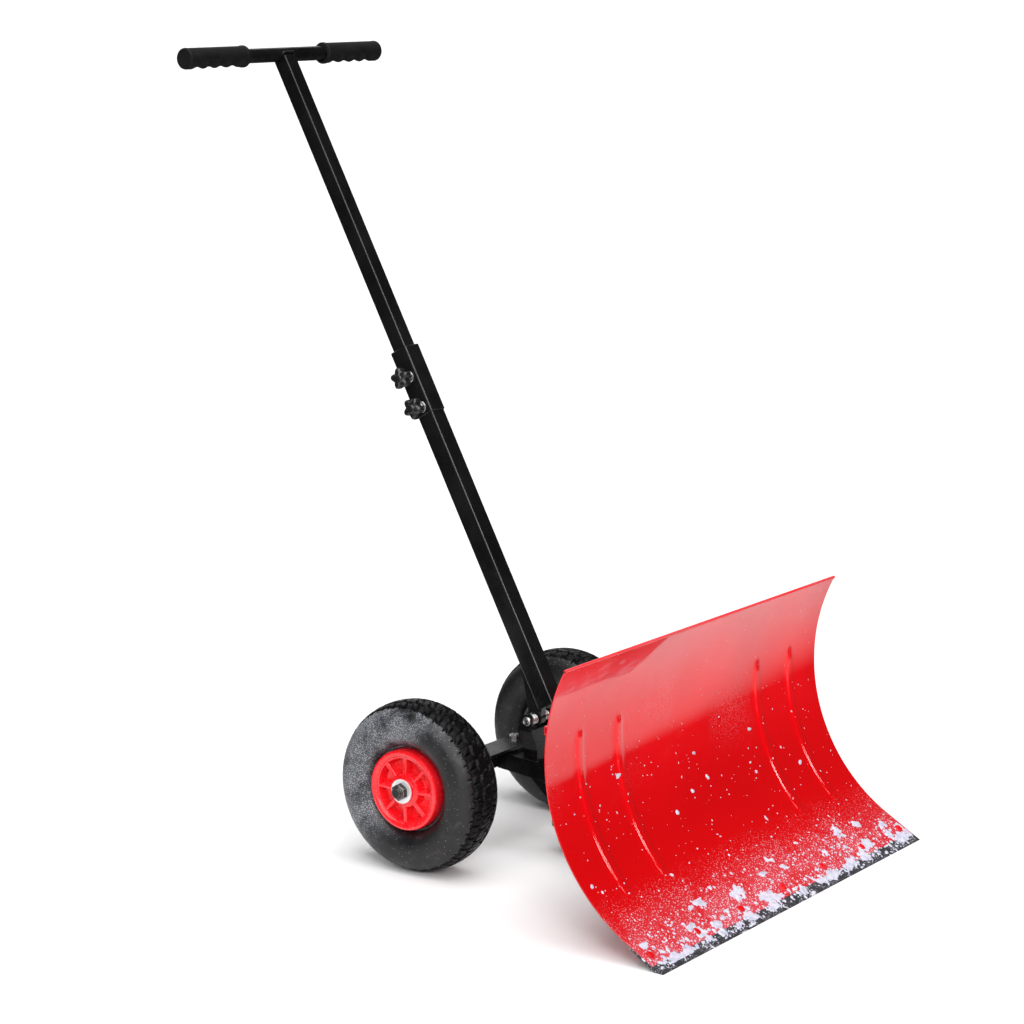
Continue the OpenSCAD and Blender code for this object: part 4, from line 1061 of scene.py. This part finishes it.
def build_pin():
    """Tilt pin with a domed head, a threaded end and its lock nut."""
    y, z = joints["handle_tilt"]["pos_m"][1:]
    radius, shank = 4.95, 52.0
    shape = Shape()
    start = Vector((-27.0 * MM, y, z))
    lathe(shape, [(0.0, 0.0), (0.0, radius), (shank, radius), (shank, 0.0)], start, (1, 0, 0), 32)
    threaded(shape, start + Vector((shank * MM, 0, 0)), (1, 0, 0), 11.0, radius, 1.5)
    dome = [(0.0, 0.0), (0.0, 6.9), (-1.2, 7.0), (-2.6, 6.4), (-3.6, 4.6), (-4.0, 0.0)]
    lathe(shape, dome, start, (1, 0, 0), 40)
    shape.build("tilt_pin_bolt", [FINISH["zinc"]], "chassis", ["tilt_pin"], angle=25)
    shape = Shape()
    nut_start = start + Vector(((shank + 2.1) * MM, 0, 0))
    hexagon(shape, nut_start, (1, 0, 0), 14, 7.9, turn=0.5, hole=5.05)
    shape.build("tilt_pin_lock_nut", [FINISH["zinc"]], "chassis", ["tilt_pin_nut"], angle=25)


def build_welds():
    """Weld beads where the black frame's tubes and plates meet."""
    shape = Shape()
    low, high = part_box("handle_post")
    foot = low.z
    front, back = low.y, high.y
    half = 12.5 * MM
    fall = math.tan(math.radians(5))
    for side in (-1, 1):
        x = side * (half + 0.4 * MM)
        weld_bead(shape, [(x, front, foot + 1 * MM),
                          (x, back, foot + 1 * MM + (back - front) * fall)], 1.7 * MM)
    weld_bead(shape, [(-half, front - 0.6 * MM, foot + 0.8 * MM),
                      (half, front - 0.6 * MM, foot + 0.8 * MM)], 1.9 * MM)
    barrel_low, barrel_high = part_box("kingpin_barrel")
    radius = (barrel_high.x - barrel_low.x) / 2
    y = (barrel_low.y + barrel_high.y) / 2
    for seam_z in (0.103, 0.0705):
        arc = []
        for t in np.linspace(-0.72, 0.72, 15):
            arc.append((radius * math.sin(t), y + radius * math.cos(t), seam_z + 0.004 * math.cos(t * 2)))
        weld_bead(shape, arc, 1.7 * MM)
    plate_low, plate_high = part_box("axle_top_plate")
    for end in (plate_low.x + 2 * MM, plate_high.x - 2 * MM):
        for step in range(2):
            x = end * (1 - 0.32 * step)
            x1 = x - math.copysign(14 * MM, end)
            weld_bead(shape, [(x, plate_high.y - 0.1 * MM, plate_low.z - 0.1 * MM),
                              (x1, plate_high.y - 0.1 * MM, plate_low.z - 0.1 * MM)], 1.5 * MM)
    shape.build("frame_weld_beads", [SHADED_BLACK], "chassis", angle=60)
    shape = Shape()
    for side in (-1, 1):
        weld_bead(shape, [handle_point(side * 6.4, 15.4, 2), handle_point(side * 6.4, 15.4, 61)], 1.6 * MM)
    weld_bead(shape, [handle_point(-6, 15.4, 62.4), handle_point(6, 15.4, 62.4)], 1.6 * MM)
    shape.build("lug_weld_beads", [FINISH["black_paint"]], "lower_handle", angle=60)


build_springs()
build_pin()
build_welds()


# ---------------------------------------------------------------- stage, light and camera


def build_stage():
    """A wide pale floor with a painted pool of light round the object: beyond it the floor is painted dark in
    reflections.
    """
    mesh = bpy.data.meshes.new("floor")
    size = 150.0
    corners = [(-size, -size, 0), (size, -size, 0), (size, size, 0), (-size, size, 0)]
    mesh.from_pydata(corners, [], [(0, 1, 2, 3)])
    floor = bpy.data.objects.new("floor", mesh)
    bpy.context.scene.collection.objects.link(floor)
    floor.location.z = -0.0005
    f = Finish("studio_floor")
    path = f.add("ShaderNodeLightPath")
    away = f.add("ShaderNodeVectorMath", operation="DISTANCE")
    f.put(away.inputs[0], f.place)
    f.put(away.inputs[1], (-0.22, -0.25, 0.0))
    far = f.ramp(away.outputs["Value"], 1.0, 1.75)
    # Painted light: outside a pool round the object, the floor's colour turns dark for all but camera rays.
    painted_dark_outside_pool = f.math("MULTIPLY", far, f.math("SUBTRACT", 1.0, path.outputs["Is Camera Ray"]))
    pale = f.mix(f.noise(2.0, 2.0), rgb(0.93, 0.93, 0.935), rgb(0.96, 0.96, 0.96))
    f.set(Base_Color=f.mix(painted_dark_outside_pool, pale, rgb(0.03, 0.03, 0.03)))
    f.set(Roughness=0.55, Specular_IOR_Level=0.25)
    mesh.materials.append(f.material)


def build_world():
    """White to the camera, and a dim studio in reflections."""
    world = bpy.data.worlds.new("studio")
    world.use_nodes = True
    bpy.context.scene.world = world
    tree = world.node_tree
    tree.nodes.clear()
    out = tree.nodes.new("ShaderNodeOutputWorld")
    mix = tree.nodes.new("ShaderNodeMixShader")
    path = tree.nodes.new("ShaderNodeLightPath")
    seen = tree.nodes.new("ShaderNodeBackground")
    seen.inputs[1].default_value = 1.4
    light = tree.nodes.new("ShaderNodeBackground")
    light.inputs[1].default_value = 0.06
    tree.links.new(path.outputs["Is Camera Ray"], mix.inputs[0])
    tree.links.new(light.outputs[0], mix.inputs[1])
    tree.links.new(seen.outputs[0], mix.inputs[2])
    tree.links.new(mix.outputs[0], out.inputs[0])


def add_sun(name, toward, strength, spread_deg):
    lamp = bpy.data.lights.new(name, "SUN")
    lamp.energy = strength
    lamp.angle = math.radians(spread_deg)
    item = bpy.data.objects.new(name, lamp)
    bpy.context.scene.collection.objects.link(item)
    item.rotation_euler = Vector(toward).to_track_quat("Z", "Y").to_euler()


CAMERA_PLACE = (-3.3685, -1.9193, 1.3143)
CAMERA_AIM = (-0.0976, 0.4269, 0.5293)
CAMERA_LENS = 100.16


def build_camera():
    camera = bpy.data.cameras.new("camera")
    camera.lens = CAMERA_LENS
    camera.clip_end = 400
    item = bpy.data.objects.new("camera", camera)
    bpy.context.scene.collection.objects.link(item)
    item.location = CAMERA_PLACE
    aim = Vector(CAMERA_AIM) - item.location
    item.rotation_euler = aim.to_track_quat("-Z", "Y").to_euler()
    bpy.context.scene.camera = item


build_stage()
build_world()
add_sun("key_light", (-0.15, -0.22, 1.0), 2.9, 60)
add_sun("fill_light", (-1.0, -0.25, 0.5), 1.5, 50)
add_sun("edge_light", (-0.57, -0.64, 0.45), 0.9, 16)
add_sun("back_light", (0.5, 0.75, 0.45), 0.55, 60)
build_camera()
bpy.context.scene.view_settings.view_transform = "Standard"
